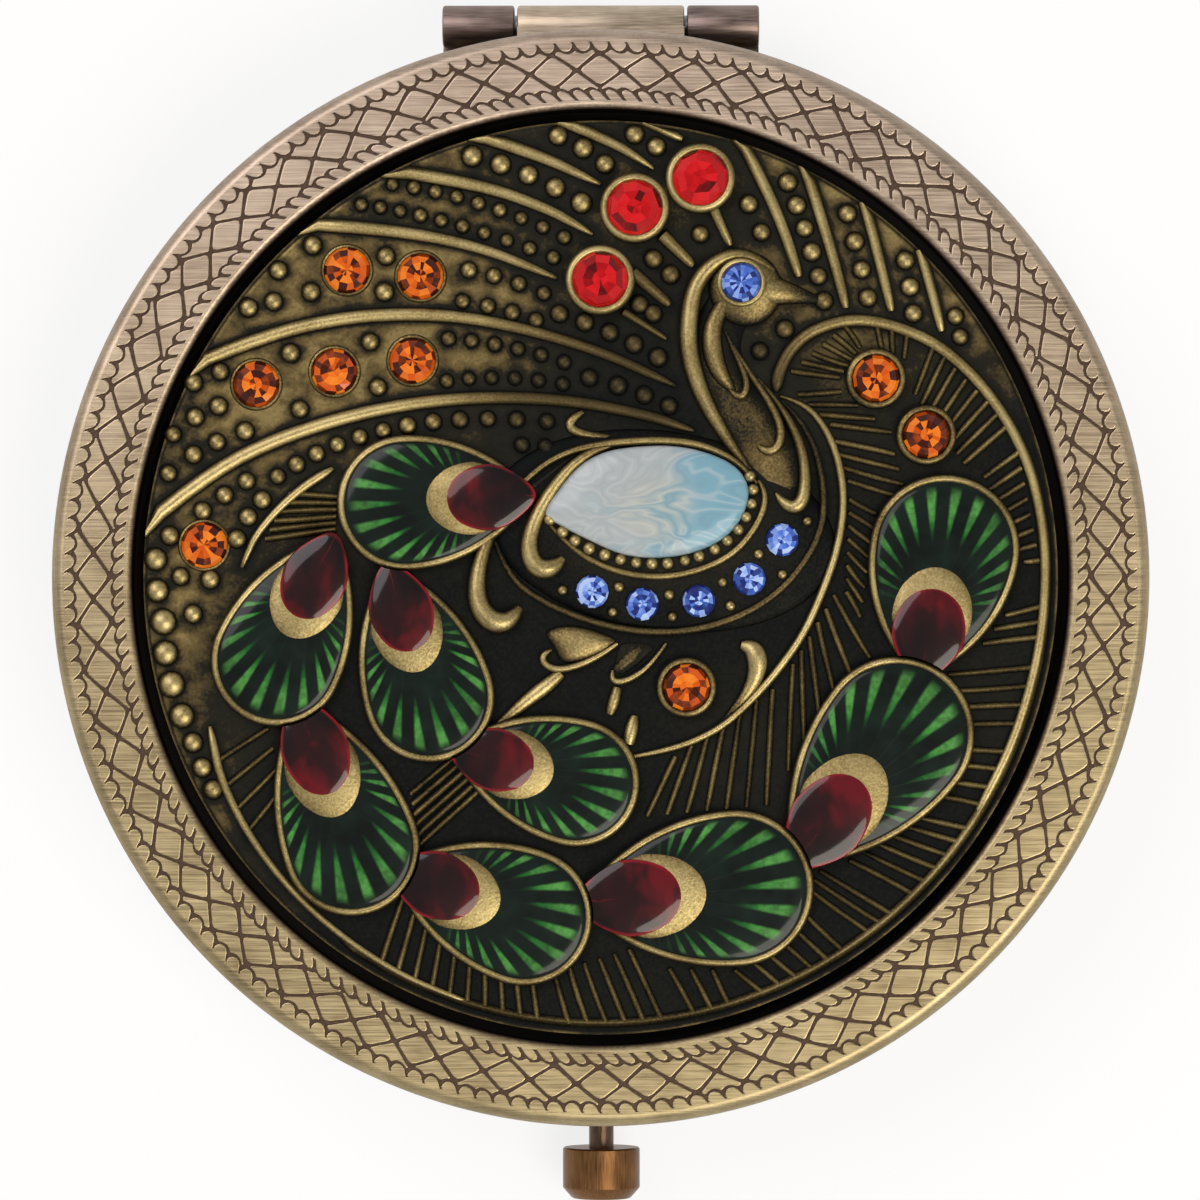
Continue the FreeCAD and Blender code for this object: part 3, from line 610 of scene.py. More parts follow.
BARB = cast_brass("barb_brass", 0.0, 0.46, patchy=0.8)
BEAD = cast_brass("bead_brass", 0.0, 0.6, True)
BODY = cast_brass("body_brass", 0.28, 1.25)
NECK = cast_brass("neck_brass", 0.02, 0.8, patchy=0.9)
SEAT = cast_brass("seat_brass", -0.5, 0.5)
GREEN = green_enamel("green_enamel")
RED = red_enamel("red_enamel")
PEARL = pearl_finish("pearl")
RED_GLASS = stone_finish("red_glass", tone(78, 0, 5), tone(182, 3, 12), tone(228, 34, 40))
AMBER_GLASS = stone_finish("amber_glass", tone(58, 16, 5), tone(206, 84, 8), tone(240, 138, 40))
BLUE_GLASS = stone_finish("blue_glass", tone(26, 40, 110), tone(74, 112, 206), tone(176, 202, 250))


# Case: two turned shells with an engraved band each.

def edge_round(centre, across, up, steps=7):
    """Points of a rounded edge, from its side to its top, with a value that makes it darker towards the side: painted
    shade.
    """
    turns = [math.pi / 2 * i / steps for i in range(steps + 1)]
    return [(centre[0] + across * math.cos(u), centre[1] + up * math.sin(u), 0.37 + 0.14 * math.sin(u)) for u in turns]


def notch(low, high):
    """The block that is cut from a shell to make room for the hinge."""
    return box_object("notch", (-NOTCH_HALF, LEAF_FRONT, low), (NOTCH_HALF, NOTCH_BACK, high))


def lid_case():
    low, flat = LID_TOP - CUT_DEPTH, LID_TOP - 0.01
    profile = [
        (0, CEILING, 0.5), (INNER_R, CEILING, 0.5), (INNER_R, LID_LOW, 0.5),
        # The side and its rounded edge are darker than the top: painted shade.
        (CASE_R - 0.08, LID_LOW, 0.4), (CASE_R, LID_LOW + 0.08, 0.4),
        *edge_round((BAND_OUT, LID_TOP - 0.95), CASE_R - BAND_OUT, 0.95),
        # The band's edges are rubbed light, partly a painted highlight.
        (BAND_OUT - 0.05, flat, 0.68), (BAND_OUT - 0.09, low, 0.08),
        (BAND_IN + 0.09, low, 0.08), (BAND_IN + 0.05, flat, 0.74), (BAND_IN - 0.04, LID_TOP, 0.62),
        # From the lip into the recess the colour darkens to near black on the recess wall: painted shade.
        (RECESS_R + 0.3, LID_TOP - 0.02, 0.46), (RECESS_R + 0.18, LID_TOP - 0.07, 0.34),
        (RECESS_R + 0.08, LID_TOP - 0.16, 0.24), (RECESS_R + 0.01, LID_TOP - 0.32, 0.06),
        (RECESS_R, LID_TOP - 0.5, -0.4), (RECESS_R, PLATE_LOW, -0.5), (0, PLATE_LOW, -0.5),
    ]
    shell = cut(tidy_mesh(turned("lid_case", profile)), [notch(LID_LOW - 1, NOTCH_TOP)])
    dress(tidy_mesh(shell), CASE, "lid", "case_brass", "lid_shell")


def base_case():
    profile = [
        # Beside the band the edges are rubbed light, partly a painted highlight.
        (0, 0, 0.62), (BAND_IN - 0.06, 0, 0.7), (BAND_IN + 0.05, 0.01, 0.8),
        (BAND_IN + 0.09, CUT_DEPTH, 0.0), (BAND_OUT - 0.09, CUT_DEPTH, 0.0), (BAND_OUT - 0.05, 0.01, 0.8),
        # The rounded edge and the side are darker: painted shade.
        *edge_round((BAND_OUT, 0.8), CASE_R - BAND_OUT, -0.8)[::-1],
        (CASE_R, BASE_TOP - 0.08, 0.4), (CASE_R - 0.08, BASE_TOP, 0.4), (INNER_R, BASE_TOP, 0.5),
        (INNER_R, WALL, 0.3), (0, WALL, 0.3),
    ]
    drill = turned("drill", [(0, 0), (STEM_HOLE_R, 0), (STEM_HOLE_R, 5), (0, 5)], 32)
    drill.data.transform(Matrix.Translation((0, -37 * MM, BUTTON_Z * MM)) @ Matrix.Rotation(-math.pi / 2, 4, "X"))
    shell = cut(tidy_mesh(turned("base_case", profile)), [notch(NOTCH_LOW, BASE_TOP + 1), tidy_mesh(drill)])
    dress(tidy_mesh(shell), CASE, "base", "case_brass", "base_shell")


def pad(name, outline, top, foot):
    """A flat raised pad with a rubbed edge, painted light partly as a highlight, from an outline of places along the
    ring and radii.
    """
    count = len(outline)
    turns = [(along / BAND_MID, radius) for along, radius in outline]
    corners = [Vector((-r * math.sin(u), r * math.cos(u), 0)) for u, r in turns]
    middle = sum(corners, Vector()) / count
    spots, wear = [], []
    for inset, height, worn in ((0.0, foot, 0.0), (0.035, top - 0.012, 0.78), (0.1, top, 0.62)):
        spots += [c + (middle - c).normalized() * inset + Vector((0, 0, height)) for c in corners]
        wear += [worn] * count
    return mesh_object(name, spots, [range(2 * count, 3 * count)] + skin(0, 3, count), wear)


def blunted(corners, share, steps=2):
    """An outline whose corners are rounded off, each from a share of one edge to a share of the next."""
    out = []
    for i, here in enumerate(corners):
        before, after = corners[i - 1], corners[(i + 1) % len(corners)]
        first, last = ([h + (o - h) * share for h, o in zip(here, other)] for other in (before, after))
        for k in range(steps + 1):
            s = k / steps
            out.append(tuple(a * (1 - s) ** 2 + h * 2 * s * (1 - s) + b * s**2 for a, h, b in zip(first, here, last)))
    return out


# Teeth along the band's two edges: places in shares of a tooth, and radii.
INNER_TOOTH = [
    (-0.6, 30.22), (0.22, 30.22), (0.48, 30.5), (0.66, 30.78), (0.65, 30.96), (0.45, 31.05), (0.17, 30.99),
    (-0.12, 30.78), (-0.34, 30.5),
]
OUTER_TOOTH = [
    (0.58, 34.22), (0.42, 33.94), (0.3, 33.7), (0.12, 33.52), (-0.1, 33.47), (-0.3, 33.54), (-0.44, 33.74),
    (-0.48, 33.98), (-0.36, 34.22),
]


def wedge(middle, way, half, tall, end, pitch):
    """A half diamond, pointed at the band's middle and scalloped by the teeth at its other side."""
    tip, reach, bite = (-0.1, 33.33, 1.0) if way > 0 else (0.5, 31.19, 0.9)
    base = []
    for i in range(-13, 14):
        a = middle + half * i / 14
        off = (a / pitch - tip + 0.5) % 1 - 0.5
        rim = reach + way * bite * off**2
        flank = BAND_MID + way * (end + abs(a - middle) * tall / half)
        if way * (rim - flank) > 0.08:
            base.append((a, rim))
    low = [(base[-1][0] + 0.02, base[-1][1] - way * 0.1), (middle + 0.06, BAND_MID + way * (end + 0.05))]
    return base + low + [(middle - 0.06, low[1][1]), (base[0][0] - 0.02, base[0][1] - way * 0.1)]


def engraved_band(name, low, high):
    """Diamonds, the half diamonds between them, and leaning teeth along both edges of the band."""
    half = math.pi * BAND_MID / (UNITS * UNIT_DIAMONDS)
    pitch = 2 * math.pi * BAND_MID / (UNITS * UNIT_TEETH)
    tall, line = 1.13, 0.074  # half a diamond's height, and half the width of the cuts
    lean = math.atan2(tall, half)
    side, end = line / math.sin(lean), line / math.cos(lean)
    pads = []
    for i in range(UNIT_DIAMONDS):
        at = 2 * half * i
        diamond = [(at + half - side, 0), (at, tall - end), (at + side - half, 0), (at, end - tall)]
        pads.append(pad("cell", blunted([(a, BAND_MID + r) for a, r in diamond], 0.19), high, low))
        pads += [pad("cell", wedge(at + half, way, half, tall, end, pitch), high, low) for way in (1, -1)]
    for i in range(UNIT_TEETH):
        for tooth in (INNER_TOOTH, OUTER_TOOTH):
            pads.append(pad("tooth", [((i + a) * pitch, r) for a, r in tooth], high, low))
    unit = joined("band_unit", pads)
    band = round_ring(name, unit, UNITS, CASE)
    drop_object(unit)
    return tidy_mesh(band, 3)


def bands():
    low, high = LID_TOP - CUT_DEPTH - 0.01, LID_TOP
    dress(engraved_band("lid_band", low, high), CASE, "lid", "case_brass")
    back = engraved_band("base_band", low, high)
    back.data.transform(Matrix.Translation((0, 0, LID_TOP * MM)) @ Matrix.Rotation(math.pi, 4, "X"))
    dress(back, CASE, "base", "case_brass")


# Hinge and push button.

def along_x(obj, start):
    """Turns an object made about Z so that it runs along +X from a start point."""
    turn = Matrix.Rotation(math.pi / 2, 4, "Y")
    obj.data.transform(Matrix.Translation(Vector(start) * MM) @ turn)
    return obj


def knuckle(start, end, bore):
    """A rolled knuckle with rounded ends, on the hinge's axis."""
    long, r, edge = end - start, KNUCKLE_R, 0.16
    profile = [(bore, 0), (r - edge, 0), (r - 0.3 * edge, 0.3 * edge), (r, edge)]
    profile += [(radius, long - height) for radius, height in reversed(profile)]
    return along_x(tidy_mesh(turned("roll", profile, 48)), (start, HINGE.y, HINGE.z))


def hinge_leaf(left, right, front, back, low):
    """A flat strip of the hinge."""
    return box_object("leaf", (left, front, low), (right, back, low + LEAF_THICK))


def hinge():
    low, high = HINGE.z - KNUCKLE_R, LID_LOW + 0.7
    step, back = HINGE.y - 1.6, HINGE.y - 0.2
    sides = ((-HINGE_HALF, -OUTER_FROM), (OUTER_FROM, HINGE_HALF))
    outer = [hinge_leaf(-HINGE_HALF, HINGE_HALF, LEAF_FRONT, step, low)]
    outer += [hinge_leaf(a, b, step, back, low) for a, b in sides]
    outer += [knuckle(a, b, 0.7) for a, b in sides]
    dress(joined("hinge_outer_knuckles", outer), HINGE_DARK, "base", "hinge_dark", "hinge_base_leaf")
    ends = (-MIDDLE_HALF, MIDDLE_HALF)
    middle = [hinge_leaf(*ends, LEAF_FRONT, back, high), knuckle(*ends, 0.75)]
    dress(joined("hinge_middle_knuckle", middle), HINGE_BRIGHT, "lid", "hinge_bright", "hinge_lid_leaf")


def about_button(name, profile):
    """Turned about the button's axis, heights running out from the case's middle."""
    obj = turned(name, profile, 64)
    obj.data.transform(Matrix.Translation((0, 0, BUTTON_Z * MM)) @ Matrix.Rotation(math.pi / 2, 4, "X"))
    return tidy_mesh(obj, 30)


def button():
    face, end, r = 36.9, 40.2, 2.5
    deep = face + 2.0
    knob = [(0, deep), (0.82, deep), (0.82, face), (r - 0.1, face), (r, face + 0.1)]
    knob += [(r, end - 0.72), (r - 0.08, end - 0.6), (r - 0.55, end - 0.07), (r - 0.66, end), (0, end)]
    dress(about_button("button_knob_turned", knob), COPPER, "button", "button_copper", "button_knob")
    stem = [(0, 32.85), (0.4, 32.85), (0.4, 33.8), (1.3, 33.8), (1.3, 34.2), (0.8, 34.2), (0.8, deep), (0, deep)]
    dress(about_button("button_stem_turned", stem), STEM, "button", "button_copper", "button_stem")


def spring():
    """The latch's leaf spring, with a mesh of its own; it is not made to flatten as the button is pressed."""
    leaf = link(bpy.data.objects.new("latch_spring_leaf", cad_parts["latch_spring"].data.copy()))
    dress(leaf, STEEL, "base", "latch_steel", "latch_spring")
    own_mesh(leaf)


lid_case()
base_case()
bands()
hinge()
button()
spring()


# Medallion: places on the plate, in millimetres from its centre.
FEATHERS = [
    ((-4.2, 5.2), (-16.8, 4.4), 8.7),
    ((-16.9, 2.6), (-22.4, -9.2), 8.5),
    ((-13.6, 0.7), (-9.6, -11.7), 8.4),
    ((-19.3, -7.9), (-14.3, -21.4), 8.8),
    ((-9.5, -10.9), (2.4, -14.3), 8.2),
    ((-13.3, -18.6), (-0.7, -23.2), 8.8),
    ((-1.5, -20.8), (13.6, -19.4), 10.0),
    ((12.2, -18.4), (22.0, -6.2), 10.0),
    ((20.3, -6.6), (22.9, 6.4), 9.6),
]
RED_STONES = [(6.4, 25.4), (2.2, 23.5), (0.0, 18.9)]
AMBER_FLUSH = [(-16.2, 19.6), (-11.5, 19.2), (-22.0, 12.3), (-17.0, 13.1), (-12.0, 13.8), (-25.3, 2.0)]
AMBER_CUPS = [(17.6, 12.6), (20.8, 9.0), (5.5, -7.1)]
BELLY_STONES = [(-0.5, -1.0), (2.7, -1.8), (6.3, -1.6), (9.5, -0.2), (11.6, 2.3)]
EYE = (9.0, 18.7)

# Long ridges of the field: points on the way and greatest width.
RIDGES = [
    ([(-29.0, 3.4), (-25.0, 6.7), (-20.0, 9.1), (-14.0, 10.8), (-8.0, 11.5), (-2.0, 11.3), (3.0, 10.3),
        (6.0, 9.3)], 1.15),
    ([(-26.0, 13.6), (-22.0, 15.3), (-16.0, 16.7), (-10.0, 16.8), (-5.0, 15.9), (0.0, 14.4), (4.8, 12.2)], 1.1),
    ([(-18.9, 22.6), (-14.0, 22.3), (-8.0, 21.2), (-2.8, 19.1)], 1.05),
    ([(-13.2, 26.0), (-8.0, 25.2), (-3.5, 23.6), (-0.5, 21.9)], 1.05),
    ([(-7.6, 28.2), (-4.0, 27.0), (0.0, 25.1)], 1.1),
    ([(-1.8, 28.9), (0.8, 27.8), (3.4, 26.1)], 0.95),
    ([(3.6, 28.8), (5.2, 28.0)], 0.8),
    ([(9.2, 27.6), (10.6, 24.9), (11.8, 22.0), (12.7, 19.2)], 0.95),
    ([(13.3, 25.6), (14.3, 22.4), (15.1, 19.6), (15.7, 17.2)], 0.9),
    ([(17.1, 23.1), (17.8, 20.4), (18.6, 17.0)], 0.85),
    ([(20.7, 20.0), (21.3, 17.8), (21.8, 15.7)], 0.8),
    ([(4.0, 21.8), (5.9, 19.9)], 0.95),
    ([(7.2, 23.6), (8.3, 21.2)], 0.75),
    ([(2.1, 19.4), (4.4, 17.4)], 0.95),
    ([(1.5, 16.9), (4.2, 15.2)], 0.5),
    ([(-17.1, 6.9), (-19.0, 5.7), (-20.7, 4.2), (-22.0, 2.6), (-22.9, 0.6)], 0.7),
    ([(-24.9, -9.6), (-24.2, -13.0), (-22.4, -16.6), (-19.6, -20.2), (-16.2, -23.2), (-12.5, -25.5),
        (-8.5, -27.1)], 0.66),
    ([(11.2, 11.8), (11.4, 13.0), (12.1, 14.5), (13.6, 15.8), (16.2, 16.5), (19.0, 16.0), (22.0, 14.6), (25.0, 11.6),
        (27.3, 7.6), (28.3, 3.2), (28.45, -0.5), (28.0, -5.0), (26.5, -10.3), (24.0, -15.2)], 0.9),
]
TAIL_RIB = (28.45, -4.0, -126.0)  # radius, and where it starts and ends in degrees
# Lines of the bird: the height that they lie on, how round they are, and (x, y, half width) on the way.
BIRD_LINES = [
    (0.35, 1.0, [(11.1, 19.5, 0.22), (10.1, 20.3, 0.37), (8.6, 20.6, 0.46), (7.2, 20.0, 0.53), (6.1, 18.7, 0.57),
        (5.7, 16.9, 0.62), (5.6, 14.9, 0.62), (6.0, 12.9, 0.6), (6.8, 10.9, 0.53), (7.9, 9.1, 0.44), (8.8, 7.7, 0.31),
        (9.6, 6.8, 0.15)]),
    (0.33, 0.75, [(7.9, 17.4, 0.5), (7.3, 16.4, 0.6), (7.1, 15.3, 0.66), (7.2, 14.2, 0.68), (7.6, 13.0, 0.58),
        (8.2, 12.2, 0.4), (8.6, 11.7, 0.15)]),
    (0.45, 1.0, [(8.0, 15.6, 0.11), (8.6, 14.3, 0.18), (9.2, 13.0, 0.22), (9.4, 12.1, 0.24), (9.1, 11.4, 0.26),
        (8.5, 11.6, 0.24), (8.3, 11.9, 0.13)]),
    (0.5, 1.0, [(8.5, 14.7, 0.09), (9.5, 13.0, 0.18), (10.5, 11.6, 0.22), (11.3, 10.2, 0.26), (11.6, 9.1, 0.29),
        (11.3, 8.1, 0.31), (10.5, 7.9, 0.31), (10.1, 8.3, 0.18)]),
    (0.45, 1.0, [(10.1, 12.6, 0.09), (11.3, 11.2, 0.18), (12.4, 9.4, 0.29), (13.0, 7.6, 0.35), (13.1, 5.9, 0.4),
        (12.9, 4.7, 0.48), (12.3, 4.3, 0.48), (11.5, 4.8, 0.33), (11.2, 5.3, 0.13)]),
    (0.35, 1.0, [(11.6, 11.2, 0.11), (12.8, 10.0, 0.2), (13.8, 8.0, 0.22), (14.3, 5.5, 0.24), (14.2, 3.3, 0.24),
        (13.4, 1.4, 0.24), (11.7, -0.8, 0.24), (9.2, -2.5, 0.26), (6.0, -3.5, 0.26), (2.6, -3.6, 0.24),
        (-0.7, -2.9, 0.24), (-3.8, -1.6, 0.22), (-5.9, 0.0, 0.22), (-6.7, 2.2, 0.13)]),
    (0.12, 1.3, [(11.5, 11.5, 0.11), (12.9, 11.1, 0.22), (14.2, 9.8, 0.26), (15.2, 7.6, 0.29), (15.6, 4.8, 0.29),
        (15.2, 1.9, 0.29), (14.3, -0.7, 0.29), (13.0, -3.7, 0.29), (11.2, -6.2, 0.29), (9.3, -8.3, 0.26),
        (7.4, -9.9, 0.26), (4.5, -11.1, 0.24), (2.1, -11.5, 0.15)]),
    (0.55, 1.0, [(-6.8, 2.8, 0.1), (-5.9, 4.9, 0.2), (-4.0, 6.9, 0.2), (-1.9, 8.05, 0.22), (0.6, 8.5, 0.26),
        (2.6, 8.64, 0.27), (4.4, 8.66, 0.27), (6.4, 8.4, 0.25), (8.2, 7.66, 0.22), (9.4, 6.7, 0.18),
        (10.0, 5.9, 0.1)]),
    (0.5, 1.0, [(1.2, 8.45, 0.1), (0.0, 8.2, 0.26), (-1.3, 7.45, 0.36), (-2.3, 6.5, 0.41), (-3.5, 4.9, 0.48),
        (-4.4, 3.0, 0.53), (-4.6, 1.5, 0.6), (-4.0, 0.4, 0.68), (-2.9, 0.5, 0.62), (-2.35, 1.15, 0.25)]),
    (0.3, 1.0, [(-1.5, 7.8, 0.12), (-3.6, 6.3, 0.18), (-5.5, 4.7, 0.24), (-6.7, 3.2, 0.34), (-7.5, 1.5, 0.48),
        (-7.9, -0.3, 0.6), (-7.8, -1.9, 0.7), (-6.9, -3.0, 0.78), (-5.7, -2.9, 0.66), (-5.1, -2.0, 0.28)]),
    (0.55, 1.0, [(-3.5, 3.6, 0.11), (-2.3, 2.2, 0.2), (-0.5, 0.9, 0.22), (1.7, 0.1, 0.24), (4.1, -0.1, 0.24),
        (6.5, 0.4, 0.24), (8.5, 1.4, 0.24), (9.8, 2.9, 0.24), (10.5, 4.4, 0.24), (10.5, 5.5, 0.2),
        (10.1, 6.1, 0.11)]),
    (0.15, 1.3, [(1.1, -4.3, 0.15), (0.0, -5.1, 0.22), (-1.6, -5.8, 0.24), (-2.9, -6.0, 0.26), (-3.7, -5.5, 0.24),
        (-3.6, -4.9, 0.24), (-3.1, -4.7, 0.11)]),
    (0.15, 1.3, [(4.2, -4.3, 0.11), (3.3, -5.6, 0.18), (2.1, -6.5, 0.22), (1.1, -6.8, 0.24), (0.7, -6.5, 0.22),
        (0.8, -6.0, 0.11)]),
    (0.05, 0.8, [(9.0, -4.4, 0.33), (9.7, -4.5, 0.66), (10.1, -5.4, 0.73), (9.9, -6.5, 0.57), (9.3, -7.6, 0.4),
        (8.4, -8.6, 0.22), (7.7, -9.3, 0.09)]),
    (0.05, 1.0, [(-1.1, 10.5, 0.2), (-1.8, 10.1, 0.33), (-2.0, 9.5, 0.35), (-1.2, 9.1, 0.31), (0.4, 8.9, 0.22),
        (2.3, 8.8, 0.11)]),
    (0.0, 0.8, [(-2.5, -6.2, 0.4), (-3.3, -6.9, 0.56), (-4.5, -7.8, 0.5), (-5.7, -8.8, 0.4), (-6.7, -9.6, 0.22)]),
    (0.0, 0.9, [(1.1, -7.1, 0.33), (0.9, -8.0, 0.5), (0.6, -8.8, 0.3)]),
    (0.0, 0.9, [(2.2, -8.9, 0.3), (2.0, -9.8, 0.58), (1.8, -10.7, 0.4)]),
    (0.0, 0.5, [(2.6, -4.6, 0.3), (1.9, -5.2, 0.6), (1.0, -6.0, 0.3)]),
    (0.26, 0.55, [(9.6, 18.3, 0.8), (10.7, 18.25, 0.98), (11.5, 18.15, 0.86), (12.3, 18.0, 0.66), (13.3, 17.8, 0.42),
        (14.3, 17.55, 0.13)]),
]
# Low leaves under the bird.
LEAVES = [
    [(-3.4, -3.5), (-1.6, -3.15), (0.9, -3.95), (0.3, -4.8), (-1.2, -5.4), (-2.4, -5.45), (-2.95, -4.6)],
    [(1.5, -4.3), (3.3, -4.5), (2.4, -5.6), (1.3, -6.2), (1.0, -5.4)],
]
# Fine barbs: first and last line, each from one end to the other, and how many.
BARBS = [
    (((12.2, 13.1), (15.3, 12.7)), ((15.6, 16.0), (16.6, 14.6)), 4),
    (((17.7, 16.1), (18.0, 14.6)), ((19.6, 15.4), (19.4, 13.9)), 2),
    (((21.3, 14.7), (20.1, 11.6)), ((26.1, 9.7), (23.2, 7.2)), 6),
    (((26.7, 7.9), (24.5, 6.3)), ((28.0, 1.0), (27.0, 0.9)), 6),
    (((12.6, 11.6), (15.4, 11.8)), ((14.7, 9.7), (18.6, 9.2)), 3),
    (((15.0, 8.6), (18.8, 7.8)), ((15.8, 6.1), (19.6, 4.9)), 3),
    (((15.9, 4.9), (17.6, 4.0)), ((15.7, -1.0), (16.6, -2.6)), 6),
    (((28.2, -1.9), (26.6, -2.3)), ((27.9, -3.9), (25.2, -4.2)), 2),
    (((27.7, -5.8), (23.0, -6.2)), ((26.8, -9.4), (23.0, -9.5)), 3),
    (((26.1, -11.2), (23.1, -11.0)), ((24.4, -14.6), (22.1, -14.1)), 3),
    (((23.5, -16.1), (20.9, -15.5)), ((19.8, -20.2), (16.6, -18.5)), 4),
    (((18.5, -21.5), (14.7, -19.2)), ((17.0, -22.6), (13.9, -20.4)), 2),
    (((15.4, -23.8), (13.7, -22.2)), ((10.4, -26.6), (9.2, -25.6)), 4),
    (((8.2, -27.3), (7.5, -25.8)), ((6.0, -27.9), (4.8, -25.7)), 2),
    (((3.9, -28.2), (2.2, -24.5)), ((-2.0, -28.5), (-2.7, -26.0)), 4),
    (((-4.0, -28.2), (-4.6, -24.4)), ((-14.0, -24.8), (-12.6, -20.6)), 7),
    (((14.9, -1.2), (17.2, -5.2)), ((12.3, -5.6), (12.0, -12.4)), 4),
    (((11.0, -7.2), (10.6, -14.6)), ((4.8, -11.5), (3.0, -15.3)), 5),
    (((-12.1, -13.9), (-8.9, -11.2)), ((-11.5, -17.1), (-7.4, -13.4)), 4),
    (((-24.3, -11.7), (-21.2, -9.7)), ((-22.5, -16.3), (-20.2, -13.5)), 3),
    (((-19.9, 5.3), (-16.8, 5.1)), ((-21.4, 2.4), (-16.9, 3.0)), 4),
]
# Rows of beads: first, middle and last bead, how many, and their size.
BEAD_ROWS = [
    ((-25.4, 4.2), (-24.0, 5.2), (-22.6, 6.1), 3, 0.96),
    ((-22.5, 3.8), (-22.0, 4.3), (-21.6, 4.9), 2, 0.96),
    ((-20.6, 6.4), (-13.1, 9.5), (-3.4, 9.9), 12, 0.92),
    ((-5.0, 8.4), (-4.3, 8.4), (-3.5, 8.3), 2, 0.86),
    ((-27.6, 6.6), (-27.5, 7.8), (-27.3, 9.1), 2, 0.96),
    ((-26.0, 7.8), (-25.9, 10.2), (-26.0, 12.4), 3, 0.96),
    ((-24.5, 8.6), (-24.4, 10.9), (-24.3, 13.1), 3, 0.96),
    ((-9.8, 12.5), (-6.2, 12.7), (-2.4, 12.3), 6, 0.8),
    ((-9.7, 15.2), (-6.0, 14.7), (-2.3, 13.7), 6, 0.8),
    ((-0.7, 12.7), (2.0, 11.9), (4.4, 10.9), 4, 0.98),
    ((-8.4, 19.6), (-6.0, 19.0), (-3.6, 18.1), 4, 0.86),
    ((-8.8, 17.6), (-6.4, 17.1), (-4.1, 16.4), 4, 0.86),
    ((-2.6, 16.8), (0.6, 15.6), (3.7, 14.0), 5, 1.02),
    ((-15.3, 23.8), (-9.5, 22.6), (-3.0, 20.4), 10, 0.78),
    ((-13.3, 25.1), (-7.8, 23.9), (-2.3, 21.7), 9, 0.78),
    ((-8.2, 26.9), (-4.6, 25.7), (-1.2, 23.9), 5, 1.12),
    ((-2.7, 28.2), (-1.1, 27.4), (0.3, 26.4), 3, 1.08),
    ((2.2, 28.3), (2.9, 27.9), (3.6, 27.5), 2, 1.05),
    ((9.5, 23.8), (9.9, 22.9), (10.3, 22.0), 2, 1.0),
    ((12.0, 25.2), (13.3, 21.5), (14.3, 17.6), 6, 1.0),
    ((15.8, 23.2), (16.5, 20.5), (17.1, 17.8), 4, 1.02),
    ((19.5, 20.2), (19.8, 18.5), (20.0, 16.8), 3, 1.0),
    ((22.7, 16.6), (22.9, 16.0), (23.0, 15.3), 2, 0.9),
    ((-28.4, 1.1), (-28.4, 0.1), (-28.3, -0.9), 2, 1.25),
    ((-27.9, -2.9), (-27.6, -5.9), (-26.7, -8.9), 4, 1.36),
    ((-26.0, -10.6), (-25.4, -12.2), (-24.7, -13.6), 3, 1.12),
]
BEADS = [
    (-22.7, 9.3), (-19.8, 14.3), (-19.2, 10.7), (-14.7, 15.0), (-14.2, 12.1), (-18.4, 21.2), (-20.6, 19.6),
    (-13.7, 20.5), (-22.5, 17.2), (-20.9, 17.6), (-18.5, 18.2), (-13.8, 18.2), (6.4, 21.9), (3.4, 20.3),
    (4.5, 19.3), (2.5, 17.4), (3.4, 16.8), (-27.5, 2.6), (-23.2, 2.4), (-26.8, 0.0), (-24.9, -0.2),
    (-26.0, -2.4), (10.2, 14.4), (11.8, 15.8),
]
PELLETS = [
    (1.2, -0.7), (0.8, -2.3), (4.4, -1.2), (4.6, -2.6), (7.8, -0.4), (8.3, -1.9), (10.1, 1.4), (11.6, 0.1),
    (13.2, 3.5), (-2.4, -0.9),
]
# Outline of the pale gem, and the small grains under it.
GEM_EDGE = [
    (-3.5, 4.0), (-2.5, 5.65), (-1.3, 7.0), (0.2, 7.85), (2.0, 8.2), (4.2, 8.3), (6.1, 8.05), (7.9, 7.4), (8.95, 6.6),
    (9.45, 5.5), (9.25, 4.25), (8.5, 3.0), (7.3, 2.05), (5.5, 1.38), (3.3, 1.15), (1.3, 1.42), (-0.75, 2.3),
    (-2.4, 3.15),
]
GEM_PELLETS = [
    (-3.2, 3.6), (-2.4, 2.8), (-1.6, 2.25), (-0.7, 1.75), (0.3, 1.35), (1.3, 1.05), (2.3, 0.85), (3.3, 0.78),
    (4.3, 0.8),
    (5.4, 0.98), (6.3, 1.25), (7.3, 1.7), (8.1, 2.25), (8.8, 2.95), (9.3, 3.75), (9.65, 4.6), (9.75, 5.5),
    (9.55, 6.35),
]
